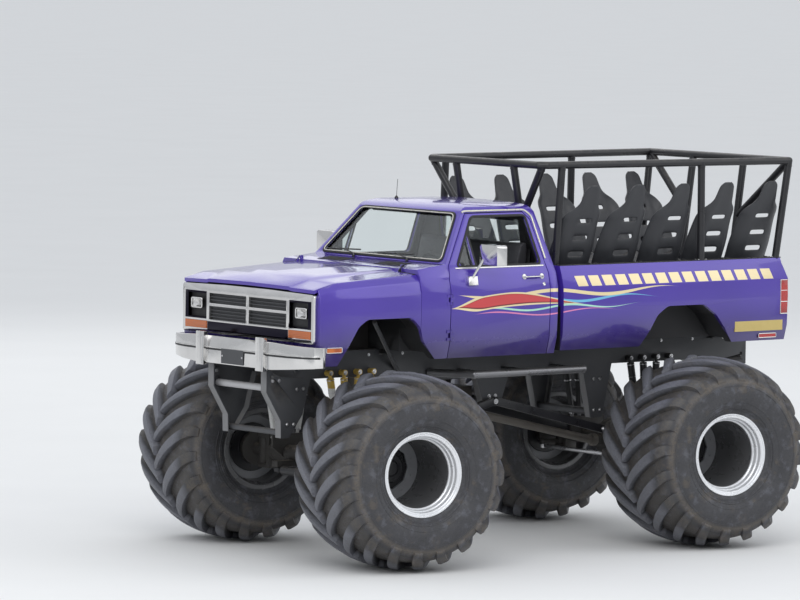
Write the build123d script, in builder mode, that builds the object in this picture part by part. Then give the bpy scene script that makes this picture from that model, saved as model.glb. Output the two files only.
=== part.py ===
"""Monster truck: a full-size pickup body with a passenger cage on a tall four-wheel-steer chassis.

Millimetres. +X forward, +Y to the truck's left, +Z up. The origin is on the ground, under the
middle of the whole truck. The wheels stand steered as they were parked.
"""

import math
import os
from collections import namedtuple

from build123d import *

# Wheels, as axial sizes from the wheel's middle and radii from its axis
TYRE_RADIUS = 838
TYRE_WIDTH = 1092
RIM_FLANGE_RADIUS = 361
RIM_WIDTH = 914
RIM_GAUGE = 12
BEAD_RADIUS = 326
WELL_RADIUS = 300
DISC_OFFSET = -220
DISC_THICKNESS = 22
DISC_HOLE_RADIUS = 188
FLANGE_RADIUS = 215
HUB_RADIUS = 130
HUB_INBOARD = 330
HUB_OUTBOARD = -150
HUB_CAP = 30
BRAKE_RADIUS = 150
BRAKE_SPAN = (150, 200)

# Tread: bars in two rows, half a pitch apart
TYRE_FACETS = 30
LUG_COUNT = 20
LUG_DEPTH = 66
LUG_SINK = 34
LUG_FLARE = 10
LUG_LEAN = 8
FIT_CLEARANCE = 0.3
PIN_CLEARANCE = 0.5

# Axles and steering
AXLE_FRONT_X = 1782
AXLE_REAR_X = -1603
STEER_FRONT = -11.6
STEER_REAR = -8.5
KINGPIN_Y = 750
WHEEL_OFFSET = 532
KINGPIN_RADIUS = 25
KNUCKLE_RADIUS = 55
KNUCKLE_HALF_HEIGHT = 114
EAR_THICKNESS = 36
EAR_HALF_WIDTH = 62
YOKE_INNER_Y = 618
YOKE_BACK_THICKNESS = 40
AXLE_TUBE_RADIUS = 75
PINION_REACH = 240
PINION_RADIUS = 55
DIFF_RADIUS = 180
SPINDLE_RADIUS = 60
TIE_ARM = 200
RAM_ARM = 200
ARM_THICKNESS = 30
ARM_HALF_WIDTH = 30
ARM_TOP = -66
STEER_PIN_RADIUS = 14
STEER_PIN_LENGTH = 62
EYE_DROP = 12
EYE_THICKNESS = 34
TIE_ROD_RADIUS = 19
TIE_EYE_RADIUS = 32
RAM_EYE_RADIUS = 42
RAM_EYE_BORE = 25
RAM_BARREL_RADIUS = 40
RAM_ROD_RADIUS = 20
RAM_BARREL_LENGTH = 600
RAM_BASE_Y = -290
RAM_BASE_X = 205
RAM_NECK = 70

# Chassis side plates
FRAME_OUTER_Y = 416
FRAME_INNER_Y = 336
FRAME_GAUGE = 12
FRAME_TOP = 1790
FRAME_RAIL_BOTTOM = 1495
FRAME_FRONT_X = 2660
FRAME_REAR_X = -2790
TOW_EYE_RADIUS = 16
TOW_BOSS_RADIUS = 38
TOW_BOSS_LENGTH = 40
TOW_FRONT = (2600, 1590)
TOW_REAR = (-2730, 1590)

# Body
BODY_HALF_WIDTH = 1010
BODY_Z = FRAME_TOP + FIT_CLEARANCE
SILL_Z = 1735
SILL_INNER_Y = BODY_HALF_WIDTH - 130
BELT_Z = 2530
ROOF_EDGE_Z = 2985
ROOF_TOP_Z = 3042
PANEL_GAP = 8
CAB_WALL = 50
CAB_REAR_X = -58
CAB_FLOOR_TOP = 1850
FIREWALL_X = 1330
COWL_X = 1457
NOSE_X = 2558
FENDER_BOTTOM_Z = 1712
FENDER_INNER_Y = BODY_HALF_WIDTH - 210
HOOD_THICKNESS = 30
BED_FRONT_X = -125
BED_REAR_X = -2755
BED_SILL_Z = 1755
BED_RAIL_Z = 2490
BED_INNER_Y = BODY_HALF_WIDTH - 135
BED_FRONT_WALL = 40
BED_FLOOR_TOP = 1835
BENCH_TOP = 2360
BENCH_FRONT_Y = 385
BENCH_GAUGE = 15
TAILGATE_THICKNESS = 50
TAILGATE_TOP = 2385
DOOR_FRONT_X = 1132
DOOR_REAR_X = 32
GLASS_THICKNESS = 6

# Cage and seats
CAGE_TUBE_RADIUS = 33
CAGE_TOP_Z = 3362
CAGE_FRONT_X = -35
CAGE_REAR_X = -2790
SEAT_PITCH = 521
SEAT_FIRST_X = -490
SEAT_COUNT = 5
SEAT_SHELL = 32

SIDES = (1, -1)

os.makedirs("parts", exist_ok=True)


def save(part, label):
    """Labels a finished piece and writes it."""
    part.label = label
    export_step(part, f"parts/{label}.step")


def block(x, y, z, mode=Mode.ADD):
    """Rectangular block between two limits along each axis."""
    middle = [(low + high) / 2 for low, high in (x, y, z)]
    sizes = [abs(high - low) for low, high in (x, y, z)]
    with Locations(tuple(middle)):
        Box(*sizes, mode=mode)


def bar(start, end, radius, mode=Mode.ADD):
    """Round bar from one point to another."""
    start = Vector(*start)
    run = Vector(*end) - start
    with BuildSketch(Plane(origin=start, z_dir=run)) as section:
        Circle(radius)
    extrude(section.sketch, amount=run.length, mode=mode)


def ball(centre, radius):
    """Ball at a point, which rounds the corner between two bars."""
    with Locations(tuple(centre)):
        Sphere(radius)


def side_profile(points, y_low, y_high, mode=Mode.ADD, inset=0, corner=0):
    """Outline in X and Z, extruded across the truck between two Y values."""
    with BuildSketch(Plane.XZ.offset(-y_high)) as section:
        with BuildLine():
            Polyline(*points, close=True)
        make_face()
        if corner:
            fillet(section.vertices(), corner)
        if inset:
            offset(amount=-inset, kind=Kind.INTERSECTION, mode=Mode.REPLACE)
    extrude(section.sketch, amount=y_high - y_low, mode=mode)


def cross_profile(points, x_low, x_high, mode=Mode.ADD, inset=0, corner=0):
    """Outline in Y and Z, extruded along the truck between two X values."""
    with BuildSketch(Plane.YZ.offset(x_low)) as section:
        with BuildLine():
            Polyline(*points, close=True)
        make_face()
        if corner:
            fillet(section.vertices(), corner)
        if inset:
            offset(amount=-inset, kind=Kind.INTERSECTION, mode=Mode.REPLACE)
    extrude(section.sketch, amount=x_high - x_low, mode=mode)


def plan_profile(points, z_low, z_high, mode=Mode.ADD):
    """Outline in X and Y, extruded upward between two Z values."""
    with BuildSketch(Plane.XY.offset(z_low)) as section:
        with BuildLine():
            Polyline(*points, close=True)
        make_face()
    extrude(section.sketch, amount=z_high - z_low, mode=mode)


def both_sides(points):
    """Closes an outline given for Y > 0 with its mirror image."""
    return points + [(-y, z) for y, z in reversed(points)]


# Each axle: name, X of its axle line, steering at rest, and which way its ram faces
Axle = namedtuple("Axle", "name x steer ram_side")
AXLES = (
    Axle("front", AXLE_FRONT_X, STEER_FRONT, 1),
    Axle("rear", AXLE_REAR_X, STEER_REAR, -1),
)
HUB_Z = TYRE_RADIUS


class Corner:
    """Local frame at a kingpin: forward and outward turn with the steering, up stays up."""

    def __init__(self, axle, side):
        heading = math.radians(axle.steer)
        self.origin = Vector(axle.x, side * KINGPIN_Y, HUB_Z)
        self.forward = Vector(math.cos(heading), math.sin(heading), 0)
        self.outward = Vector(-math.sin(heading), math.cos(heading), 0) * side
        self.side = side

    def at(self, forward, outward, up):
        """Point in the truck's frame from local distances."""
        return self.origin + self.forward * forward + self.outward * outward + Vector(0, 0, up)

    def plan(self, up):
        """Horizontal plane with local X forward, at a height over the hub."""
        return Plane(origin=self.at(0, 0, up), x_dir=self.forward, z_dir=(0, 0, 1))

    def wheel_plane(self):
        """Plane of a wheel's section: X along the axle outward from the wheel's middle, Y radial."""
        across = self.outward.cross(Vector(0, 0, 1))
        return Plane(origin=self.at(0, WHEEL_OFFSET, 0), x_dir=self.outward, z_dir=across)

    def axis(self):
        """Axis of the wheel."""
        return Axis(self.at(0, WHEEL_OFFSET, 0), self.outward)

    def wheel_frame(self):
        """Plane of the wheel's middle, local X forward and local Z along the axle outward."""
        return Plane(origin=self.at(0, WHEEL_OFFSET, 0), x_dir=self.forward, z_dir=self.outward)


def turned(corner, section):
    """Revolves a wheel section, given as (axial, radius) points."""
    with BuildSketch(corner.wheel_plane()) as profile:
        with BuildLine():
            Polyline(*section, close=True)
        make_face()
    revolve(profile.sketch, axis=corner.axis())


# Tyre's casing under the lugs, from its bead to the middle of the tread: (axial, radius)
HALF_TYRE = TYRE_WIDTH / 2
HALF_RIM = RIM_WIDTH / 2
BEAD_SEAT = HALF_RIM - RIM_GAUGE - FIT_CLEARANCE
CASING = [
    (BEAD_SEAT, RIM_FLANGE_RADIUS + 20),
    (HALF_TYRE, 530),
    (HALF_TYRE - 26, 660),
    (HALF_TYRE - 116, TYRE_RADIUS - 113),
    (150, TYRE_RADIUS - LUG_DEPTH),
]

# Stations of a lug, middle of the tread to shoulder: axial place, radius of its top, sweep, half width
LugStation = namedtuple("LugStation", "axial radius sweep half_width")
HALF_PITCH = 180 / LUG_COUNT
CROWN_CORNER = TYRE_RADIUS / math.cos(math.radians(HALF_PITCH / 2))
CROWN_HALF_WIDTH = 31
crown_lean = math.radians(LUG_LEAN)
crown_drop = math.sqrt(CROWN_CORNER**2 - (CROWN_HALF_WIDTH * math.cos(crown_lean)) ** 2)
CROWN_RADIUS = crown_drop - CROWN_HALF_WIDTH * math.sin(crown_lean)
LUG_STATIONS = (
    LugStation(14, CROWN_RADIUS, 0, CROWN_HALF_WIDTH),
    LugStation(280, TYRE_RADIUS - 13, 12, 33),
    LugStation(440, TYRE_RADIUS - 58, 20, 35),
    LugStation(HALF_TYRE - 26, TYRE_RADIUS - 150, 26, 37),
)


def lug_section(station):
    """Section of a lug across the wheel's axis, its foot sunk in the casing; local Y points outward."""
    turn = math.radians(LUG_LEAN - station.sweep)
    across = station.radius * math.sin(turn)
    top = station.radius * math.cos(turn)
    foot = top - LUG_DEPTH - LUG_SINK
    foot_half = station.half_width + LUG_FLARE
    with BuildSketch(Plane(origin=(0, 0, station.axial), x_dir=(0, 1, 0), z_dir=(0, 0, -1))) as section:
        with BuildLine():
            Polyline((across - station.half_width, top), (across + station.half_width, top),
                     (across + foot_half, foot), (across - foot_half, foot), close=True)
        make_face()
    return section.sketch


with BuildPart() as lug:
    loft([lug_section(station) for station in LUG_STATIONS], ruled=True)

# A left tyre in its wheel's frame; a gap between two lugs' leading corners faces the ground
lead = math.degrees(math.atan2(CROWN_RADIUS * math.sin(crown_lean) + CROWN_HALF_WIDTH,
                               CROWN_RADIUS * math.cos(crown_lean)))
with BuildPart() as left_tyre:
    rings = []
    for axial, radius in CASING + [(-a, r) for a, r in reversed(CASING)]:
        with BuildSketch(Plane.XY.offset(axial)) as ring:
            RegularPolygon(radius, TYRE_FACETS)
        rings.append(ring.sketch)
    loft(rings, ruled=True)
    with BuildSketch(Plane.XY.offset(-HALF_TYRE)) as bore:
        RegularPolygon(BEAD_RADIUS + FIT_CLEARANCE, TYRE_FACETS, major_radius=False)
    extrude(bore.sketch, amount=TYRE_WIDTH, mode=Mode.SUBTRACT)
    with PolarLocations(0, LUG_COUNT, start_angle=90 + HALF_PITCH / 2 - lead):
        add(lug.part)
    with PolarLocations(0, LUG_COUNT, start_angle=90 - HALF_PITCH / 2 - lead):
        add(mirror(lug.part, about=Plane.XY, mode=Mode.PRIVATE))

with BuildPart() as right_tyre:
    mirror(left_tyre.part, about=Plane.XZ)

TYRES = {1: left_tyre.part, -1: right_tyre.part}

# Rim's barrel, with its stepped lip on the outer side: (axial, radius)
RIM_OUTSIDE = [
    (HALF_RIM, RIM_FLANGE_RADIUS),
    (HALF_RIM - RIM_GAUGE, RIM_FLANGE_RADIUS),
    (HALF_RIM - RIM_GAUGE, BEAD_RADIUS),
    (HALF_RIM - 75, BEAD_RADIUS),
    (HALF_RIM - 105, WELL_RADIUS),
]
WELL_INSIDE = WELL_RADIUS - RIM_GAUGE
LIP_INSIDE = [
    (HALF_RIM - 125, WELL_INSIDE),
    (HALF_RIM - 92, WELL_INSIDE + 5),
    (HALF_RIM - 80, WELL_INSIDE + 21),
    (HALF_RIM - 22, BEAD_RADIUS - RIM_GAUGE),
    (HALF_RIM - 6, BEAD_RADIUS - 8),
    (HALF_RIM - 6, RIM_FLANGE_RADIUS - 20),
    (HALF_RIM, RIM_FLANGE_RADIUS - 10),
]
BACK_INSIDE = [
    (HALF_RIM, BEAD_RADIUS - RIM_GAUGE),
    (HALF_RIM - 70, BEAD_RADIUS - RIM_GAUGE),
    (HALF_RIM - 98, WELL_INSIDE),
]
RIM_SECTION = (
    RIM_OUTSIDE
    + [(-a, r) for a, r in reversed(RIM_OUTSIDE)]
    + [(-a, r) for a, r in BACK_INSIDE]
    + LIP_INSIDE
)
DISC_BACK = DISC_OFFSET - DISC_THICKNESS
SPINDLE_BORE = SPINDLE_RADIUS + PIN_CLEARANCE
DISC_SECTION = [
    (DISC_OFFSET, WELL_RADIUS - RIM_GAUGE / 2),
    (DISC_BACK, WELL_RADIUS - RIM_GAUGE / 2),
    (DISC_BACK, FLANGE_RADIUS),
    (DISC_BACK - DISC_THICKNESS, FLANGE_RADIUS),
    (DISC_BACK - DISC_THICKNESS, HUB_RADIUS),
    (-HUB_INBOARD, HUB_RADIUS),
    (-HUB_INBOARD, SPINDLE_BORE),
    (HUB_OUTBOARD - HUB_CAP, SPINDLE_BORE),
    (HUB_OUTBOARD - HUB_CAP, 0),
    (HUB_OUTBOARD, 0),
    (HUB_OUTBOARD, HUB_RADIUS - 25),
    (HUB_OUTBOARD - 20, HUB_RADIUS),
    (DISC_BACK, HUB_RADIUS),
    (DISC_BACK, DISC_HOLE_RADIUS),
    (DISC_OFFSET, DISC_HOLE_RADIUS),
]

SIDE_NAMES = {1: "left", -1: "right"}

for axle in AXLES:
    for side in SIDES:
        corner = Corner(axle, side)
        place = f"{axle.name}_{SIDE_NAMES[side]}"

        with BuildPart() as tyre:
            with Locations(corner.wheel_frame().location):
                add(TYRES[side])
        save(tyre.part, f"tyre_{place}")

        with BuildPart() as rim:
            turned(corner, RIM_SECTION)
            turned(corner, DISC_SECTION)
        save(rim.part, f"rim_{place}")

        arm_bottom = ARM_TOP - ARM_THICKNESS
        tie_x = -axle.ram_side * TIE_ARM
        ram_x = axle.ram_side * RAM_ARM
        with BuildPart() as knuckle:
            bar(corner.at(0, 0, -KNUCKLE_HALF_HEIGHT), corner.at(0, 0, KNUCKLE_HALF_HEIGHT), KNUCKLE_RADIUS)
            pin_reach = KNUCKLE_HALF_HEIGHT + EAR_THICKNESS
            bar(corner.at(0, 0, -pin_reach), corner.at(0, 0, pin_reach), KINGPIN_RADIUS)
            spindle_end = WHEEL_OFFSET + HUB_OUTBOARD - HUB_CAP - 2
            bar(corner.at(0, 0, 0), corner.at(0, spindle_end, 0), SPINDLE_RADIUS)
            bar(corner.at(0, BRAKE_SPAN[0], 0), corner.at(0, BRAKE_SPAN[1], 0), BRAKE_RADIUS)
            has_ram = side == 1
            arm_from = min(tie_x, ram_x if has_ram else 0)
            arm_to = max(tie_x, ram_x if has_ram else 0)
            with BuildSketch(corner.plan(arm_bottom)):
                with Locations(((arm_from + arm_to) / 2, 0)):
                    SlotCenterToCenter(arm_to - arm_from, 2 * ARM_HALF_WIDTH)
            extrude(amount=ARM_THICKNESS)
            pin_ends = (tie_x, ram_x) if has_ram else (tie_x,)
            for pin_x in pin_ends:
                top = corner.at(pin_x, 0, arm_bottom)
                bar(top, top - Vector(0, 0, STEER_PIN_LENGTH), STEER_PIN_RADIUS)
        save(knuckle.part, f"knuckle_{place}")

    eye_top = HUB_Z + ARM_TOP - ARM_THICKNESS - EYE_DROP
    eye_bottom = eye_top - EYE_THICKNESS
    eye_middle = (eye_top + eye_bottom) / 2
    left = Corner(axle, 1)
    right = Corner(axle, -1)
    tie_x = -axle.ram_side * TIE_ARM
    with BuildPart() as tie_rod:
        ends = []
        for corner in (left, right):
            pin = corner.at(tie_x, 0, 0)
            ends.append(Vector(pin.X, pin.Y, eye_middle))
            bar((pin.X, pin.Y, eye_bottom), (pin.X, pin.Y, eye_top), TIE_EYE_RADIUS)
        bar(ends[0], ends[1], TIE_ROD_RADIUS - 4)
        inner = (ends[0] - ends[1]).normalized() * 90
        bar(ends[0] - inner, ends[1] + inner, TIE_ROD_RADIUS)
        for end in ends:
            bar((end.X, end.Y, eye_bottom), (end.X, end.Y, eye_top), STEER_PIN_RADIUS + PIN_CLEARANCE,
                Mode.SUBTRACT)
    save(tie_rod.part, f"tie_rod_{axle.name}")

    # The ram: its barrel hangs on the axle's bracket, its rod's eye lies round the left knuckle's pin
    base = Vector(axle.x + axle.ram_side * RAM_BASE_X, RAM_BASE_Y, eye_middle)
    pin = left.at(axle.ram_side * RAM_ARM, 0, 0)
    eye = Vector(pin.X, pin.Y, eye_middle)
    aim = (eye - base).normalized()
    with BuildPart() as ram_barrel:
        bar((base.X, base.Y, eye_bottom), (base.X, base.Y, eye_top), RAM_EYE_RADIUS)
        bar(base + aim * 20, base + aim * RAM_NECK, RAM_ROD_RADIUS - 4)
        bar(base + aim * RAM_NECK, base + aim * RAM_BARREL_LENGTH, RAM_BARREL_RADIUS)
        bar((base.X, base.Y, eye_bottom - 20), (base.X, base.Y, eye_top + 20),
            STEER_PIN_RADIUS + PIN_CLEARANCE, Mode.SUBTRACT)
        bar(base + aim * (RAM_BARREL_LENGTH - 420), base + aim * (RAM_BARREL_LENGTH + 5),
            RAM_ROD_RADIUS + PIN_CLEARANCE, Mode.SUBTRACT)
    save(ram_barrel.part, f"ram_barrel_{axle.name}")

    with BuildPart() as ram_rod:
        bar(base + aim * (RAM_BARREL_LENGTH - 250), eye - aim * 30, RAM_ROD_RADIUS)
        bar((eye.X, eye.Y, eye_bottom), (eye.X, eye.Y, eye_top), RAM_EYE_RADIUS)
        bar((eye.X, eye.Y, eye_bottom), (eye.X, eye.Y, eye_top), RAM_EYE_BORE, Mode.SUBTRACT)
    save(ram_rod.part, f"ram_rod_{axle.name}")

    # Axle housing with its differential, kingpin yokes, link brackets and shock plates
    with BuildPart() as housing:
        back_y = YOKE_INNER_Y + YOKE_BACK_THICKNESS
        ear_low = KNUCKLE_HALF_HEIGHT + PIN_CLEARANCE
        ear_high = ear_low + EAR_THICKNESS
        bar((axle.x, -YOKE_INNER_Y, HUB_Z), (axle.x, YOKE_INNER_Y, HUB_Z), AXLE_TUBE_RADIUS)
        with BuildSketch(Plane.XZ.offset(150)):
            with Locations((axle.x, HUB_Z)):
                Circle(DIFF_RADIUS - 90)
        with BuildSketch(Plane.XZ.offset(70)):
            with Locations((axle.x, HUB_Z)):
                Circle(DIFF_RADIUS)
        loft(ruled=True)
        with BuildSketch(Plane.XZ.offset(70)):
            with Locations((axle.x, HUB_Z)):
                Circle(DIFF_RADIUS)
        extrude(amount=-140)
        with BuildSketch(Plane.XZ.offset(-70)):
            with Locations((axle.x, HUB_Z)):
                Circle(DIFF_RADIUS)
        with BuildSketch(Plane.XZ.offset(-150)):
            with Locations((axle.x, HUB_Z)):
                Circle(DIFF_RADIUS - 90)
        loft(ruled=True)
        for side in SIDES:
            low_y, high_y = sorted((side * YOKE_INNER_Y, side * back_y))
            block((axle.x - EAR_HALF_WIDTH, axle.x + EAR_HALF_WIDTH), (low_y, high_y),
                  (HUB_Z - ear_high, HUB_Z + ear_high))
            for up in SIDES:
                z_low, z_high = sorted((up * ear_low, up * ear_high))
                with BuildSketch(Plane.XY.offset(HUB_Z + z_low)):
                    with Locations((axle.x, side * (YOKE_INNER_Y + KINGPIN_Y) / 2)):
                        Rectangle(2 * EAR_HALF_WIDTH, KINGPIN_Y - YOKE_INNER_Y)
                    with Locations((axle.x, side * KINGPIN_Y)):
                        Circle(EAR_HALF_WIDTH)
                        Circle(KINGPIN_RADIUS + PIN_CLEARANCE, mode=Mode.SUBTRACT)
                extrude(amount=EAR_THICKNESS)
            # Bracket that the links and shocks bolt to
            low_y, high_y = sorted((side * (FRAME_OUTER_Y - 24), side * FRAME_OUTER_Y))
            side_profile([(axle.x - 190, HUB_Z + 60), (axle.x - 60, HUB_Z - 40),
                          (axle.x + 60, HUB_Z - 40), (axle.x + 190, HUB_Z + 60),
                          (axle.x + 190, HUB_Z + 170), (axle.x - 190, HUB_Z + 170)], low_y, high_y)
        # Pinion nose that takes the propeller shaft
        bar((axle.x, 0, HUB_Z), (axle.x - axle.ram_side * PINION_REACH, 0, HUB_Z), PINION_RADIUS)
        # Ram bracket: a shelf over the barrel's eye, with its pin
        pin_x = axle.x + axle.ram_side * RAM_BASE_X
        shelf_low, shelf_high = sorted((axle.x, pin_x + axle.ram_side * 40))
        block((shelf_low, shelf_high), (RAM_BASE_Y - 40, RAM_BASE_Y + 40), (eye_top + 6, eye_top + 60))
        bar((pin_x, RAM_BASE_Y, eye_bottom - 10), (pin_x, RAM_BASE_Y, eye_top + 10), STEER_PIN_RADIUS)
    save(housing.part, f"axle_{axle.name}")


# Chassis frame: a flanged plate on each side, with the tubes between them
FRAME_OUTLINE = [
    (FRAME_FRONT_X, FRAME_TOP),
    (FRAME_FRONT_X, 1465),
    (2505, 1215),
    (2500, 1065),
    (2410, 1065),
    (2270, 1260),
    (2190, 1560),
    (1330, 1560),
    (1180, FRAME_RAIL_BOTTOM),
    (357, FRAME_RAIL_BOTTOM),
    (270, 1240),
    (90, 1240),
    (2, FRAME_RAIL_BOTTOM),
    (-860, FRAME_RAIL_BOTTOM),
    (-960, 1085),
    (-1090, 1085),
    (-1190, 1560),
    (-2050, 1560),
    (-2200, FRAME_RAIL_BOTTOM),
    (FRAME_REAR_X, FRAME_RAIL_BOTTOM),
    (FRAME_REAR_X, FRAME_TOP),
]

# Cross tubes: X, Z and radius
CrossTube = namedtuple("CrossTube", "x z radius")
CROSS_TUBES = (
    CrossTube(2560, 1490, 30),
    CrossTube(2600, 1733, 38),
    CrossTube(2440, 1106, 26),
    CrossTube(1180, 1640, 38),
    CrossTube(180, 1287, 32),
    CrossTube(-1020, 1132, 32),
    CrossTube(-1180, 1680, 38),
    CrossTube(-2660, 1640, 38),
)

with BuildPart() as rail_left:
    side_profile(FRAME_OUTLINE, FRAME_INNER_Y, FRAME_OUTER_Y)
    side_profile(FRAME_OUTLINE, FRAME_INNER_Y - 10, FRAME_OUTER_Y - FRAME_GAUGE, Mode.SUBTRACT,
                 inset=FRAME_GAUGE)
    for x, z in (TOW_FRONT, TOW_REAR):
        bar((x, FRAME_OUTER_Y - TOW_BOSS_LENGTH, z), (x, FRAME_OUTER_Y, z), TOW_BOSS_RADIUS)
        bar((x, FRAME_OUTER_Y - TOW_BOSS_LENGTH, z), (x, FRAME_OUTER_Y, z), TOW_EYE_RADIUS, Mode.SUBTRACT)
save(rail_left.part, "frame_rail_left")

with BuildPart() as rail_right:
    mirror(rail_left.part, about=Plane.XZ)
save(rail_right.part, "frame_rail_right")

with BuildPart() as cross_tubes:
    reach = FRAME_OUTER_Y - FRAME_GAUGE - FIT_CLEARANCE
    for tube in CROSS_TUBES:
        bar((tube.x, -reach, tube.z), (tube.x, reach, tube.z), tube.radius)
save(cross_tubes.part, "frame_cross_tubes")

# Side line of the cab, sill to belt and up the window frame to the roof: (Y, Z)
CAB_SIDE_LINE = [
    (BODY_HALF_WIDTH - 48, SILL_Z),
    (BODY_HALF_WIDTH - 10, 1880),
    (BODY_HALF_WIDTH, 2150),
    (BODY_HALF_WIDTH - 4, 2320),
    (BODY_HALF_WIDTH - 34, 2440),
    (BODY_HALF_WIDTH - 88, BELT_Z),
    (BODY_HALF_WIDTH - 307, ROOF_EDGE_Z),
    (BODY_HALF_WIDTH - 340, ROOF_EDGE_Z + 25),
    (BODY_HALF_WIDTH - 420, ROOF_EDGE_Z + 44),
    (BODY_HALF_WIDTH - 810, ROOF_TOP_Z),
]
CAB_SECTION = both_sides(CAB_SIDE_LINE)

# Side view of the cab: (X, Z)
CAB_SILHOUETTE = [
    (CAB_REAR_X, SILL_Z),
    (COWL_X, SILL_Z),
    (COWL_X, 2504),
    (1128, 2540),
    (802, 2968),
    (772, 2996),
    (690, 3024),
    (540, ROOF_TOP_Z + 5),
    (130, ROOF_TOP_Z + 5),
    (35, 3020),
    (-12, 2960),
    (CAB_REAR_X, BELT_Z),
]
DOOR_HEAD_Z = 2956
DOOR_EDGE = [
    (DOOR_FRONT_X, 2420),
    (1096, BELT_Z),
    (762, DOOR_HEAD_Z),
    (122, DOOR_HEAD_Z),
    (62, 2892),
    (DOOR_REAR_X, BELT_Z),
]
DOOR_SILL_Y = BODY_HALF_WIDTH - 110
WINDOW_FRAME_Y = BODY_HALF_WIDTH - 460
WINDOW_OUTLINE = [(1012, 2515), (708, 2930), (104, 2930), (80, 2515)]
WINDOW_CORNER = 42

# Wheel arches in side view: (X, Z)
FRONT_ARCH = [(2335, 1700), (2120, 2040), (2030, 2100), (1560, 2100), (1462, 2010), (1425, 1890), (1240, 1700)]
REAR_ARCH = [(-1005, 1700), (-1215, 2030), (-1330, 2105), (-1760, 2105), (-1905, 2010), (-2170, 1700)]
ARCH_CORNER = 120
ARCH_INNER_Y = BODY_HALF_WIDTH - 310
BEYOND = 60


def door_outline(bottom):
    """Door's outline in side view down to a height."""
    return DOOR_EDGE + [(DOOR_REAR_X, bottom), (DOOR_FRONT_X, bottom)]


def both_flanks(points, y_low, y_high, mode=Mode.ADD, inset=0, corner=0):
    """Side outline extruded on both flanks of the truck."""
    side_profile(points, y_low, y_high, mode, inset, corner)
    side_profile(points, -y_high, -y_low, mode, inset, corner)


def arch_cut(outline):
    """Cuts a wheel arch through both sides of the open part."""
    low_z = outline[0][1] - BEYOND - ARCH_CORNER
    shape = [(outline[0][0], low_z)] + outline + [(outline[-1][0], low_z)]
    both_flanks(shape, ARCH_INNER_Y, BODY_HALF_WIDTH + BEYOND, Mode.SUBTRACT, corner=ARCH_CORNER)


with BuildPart() as cabin_space:
    cross_profile(CAB_SECTION, CAB_REAR_X, COWL_X, inset=CAB_WALL)
    side_profile(CAB_SILHOUETTE, -BODY_HALF_WIDTH, BODY_HALF_WIDTH, Mode.INTERSECT, inset=CAB_WALL)
    block((CAB_REAR_X, FIREWALL_X), (-BODY_HALF_WIDTH, BODY_HALF_WIDTH), (CAB_FLOOR_TOP, ROOF_TOP_Z), Mode.INTERSECT)

# Windscreen: corners on its slope, at half its width: (X, Y, Z)
SCREEN_FOOT = Vector(1118, 0, 2553)
SCREEN_HEAD = Vector(806, 0, 2963)
SCREEN_HALF_FOOT = BODY_HALF_WIDTH - 160
SCREEN_HALF_HEAD = BODY_HALF_WIDTH - 346
screen_rise = SCREEN_HEAD - SCREEN_FOOT
screen_slope = screen_rise.normalized()
SCREEN_PLANE = Plane(origin=SCREEN_FOOT, x_dir=(0, 1, 0), z_dir=Vector(0, 1, 0).cross(screen_slope))
SCREEN_MARGIN = 9
SCREEN_CORNER = 45


def screen_outline(margin):
    """Windscreen's outline in its own plane, drawn in from the opening by a margin."""
    height = screen_rise.length
    low, high = SCREEN_HALF_FOOT - margin, SCREEN_HALF_HEAD - margin
    return [(-low, margin), (low, margin), (high, height - margin), (-high, height - margin)]


# Rear window in the cab's back wall
REAR_WINDOW_HALF_WIDTH = BODY_HALF_WIDTH - 450
REAR_WINDOW_LOW = 2560
REAR_WINDOW_HIGH = 2880

# Door hinges: a barrel on the door between two barrels on the cab, round one pin
DOOR_AXIS = (DOOR_FRONT_X + 4, BODY_HALF_WIDTH + 2)
HINGE_HEIGHTS = (1935, 2240)
HINGE_PIN_RADIUS = 5
HINGE_BARREL_RADIUS = 10
HINGE_RELIEF_RADIUS = 22
HINGE_LEAF = 16
HINGE_HALF = 20
HINGE_REACH = 46
LEAF_LENGTH = 40


def door_hinges(on_door):
    """Adds the door's or the cab's half of the left door's hinges."""
    x, y = DOOR_AXIS
    if on_door:
        spans = [(-HINGE_HALF, HINGE_HALF)]
        leaf = (x - LEAF_LENGTH, x)
    else:
        spans = [(-HINGE_REACH, -HINGE_HALF - 1), (HINGE_HALF + 1, HINGE_REACH)]
        leaf = (x, x + LEAF_LENGTH)
    for z in HINGE_HEIGHTS:
        bar((x, y, z - HINGE_REACH - 2), (x, y, z + HINGE_REACH + 2), HINGE_RELIEF_RADIUS, Mode.SUBTRACT)
        for low, high in spans:
            bar((x, y, z + low), (x, y, z + high), HINGE_BARREL_RADIUS)
            block(leaf, (y - HINGE_LEAF, y), (z + low, z + high))
            if not on_door:
                bar((x, y, z + low), (x, y, z + high), HINGE_PIN_RADIUS + PIN_CLEARANCE, Mode.SUBTRACT)
        if on_door:
            bar((x, y, z - HINGE_REACH), (x, y, z + HINGE_REACH), HINGE_PIN_RADIUS)


# Hood hinges: ears on the cowl and arms on the hood
HOOD_AXIS = (1440, 2525)
HOOD_PIN_RADIUS = 6
HOOD_EAR_Y = (BODY_HALF_WIDTH - 310, BODY_HALF_WIDTH - 296)
HOOD_ARM_Y = (BODY_HALF_WIDTH - 294, BODY_HALF_WIDTH - 280)

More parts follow.
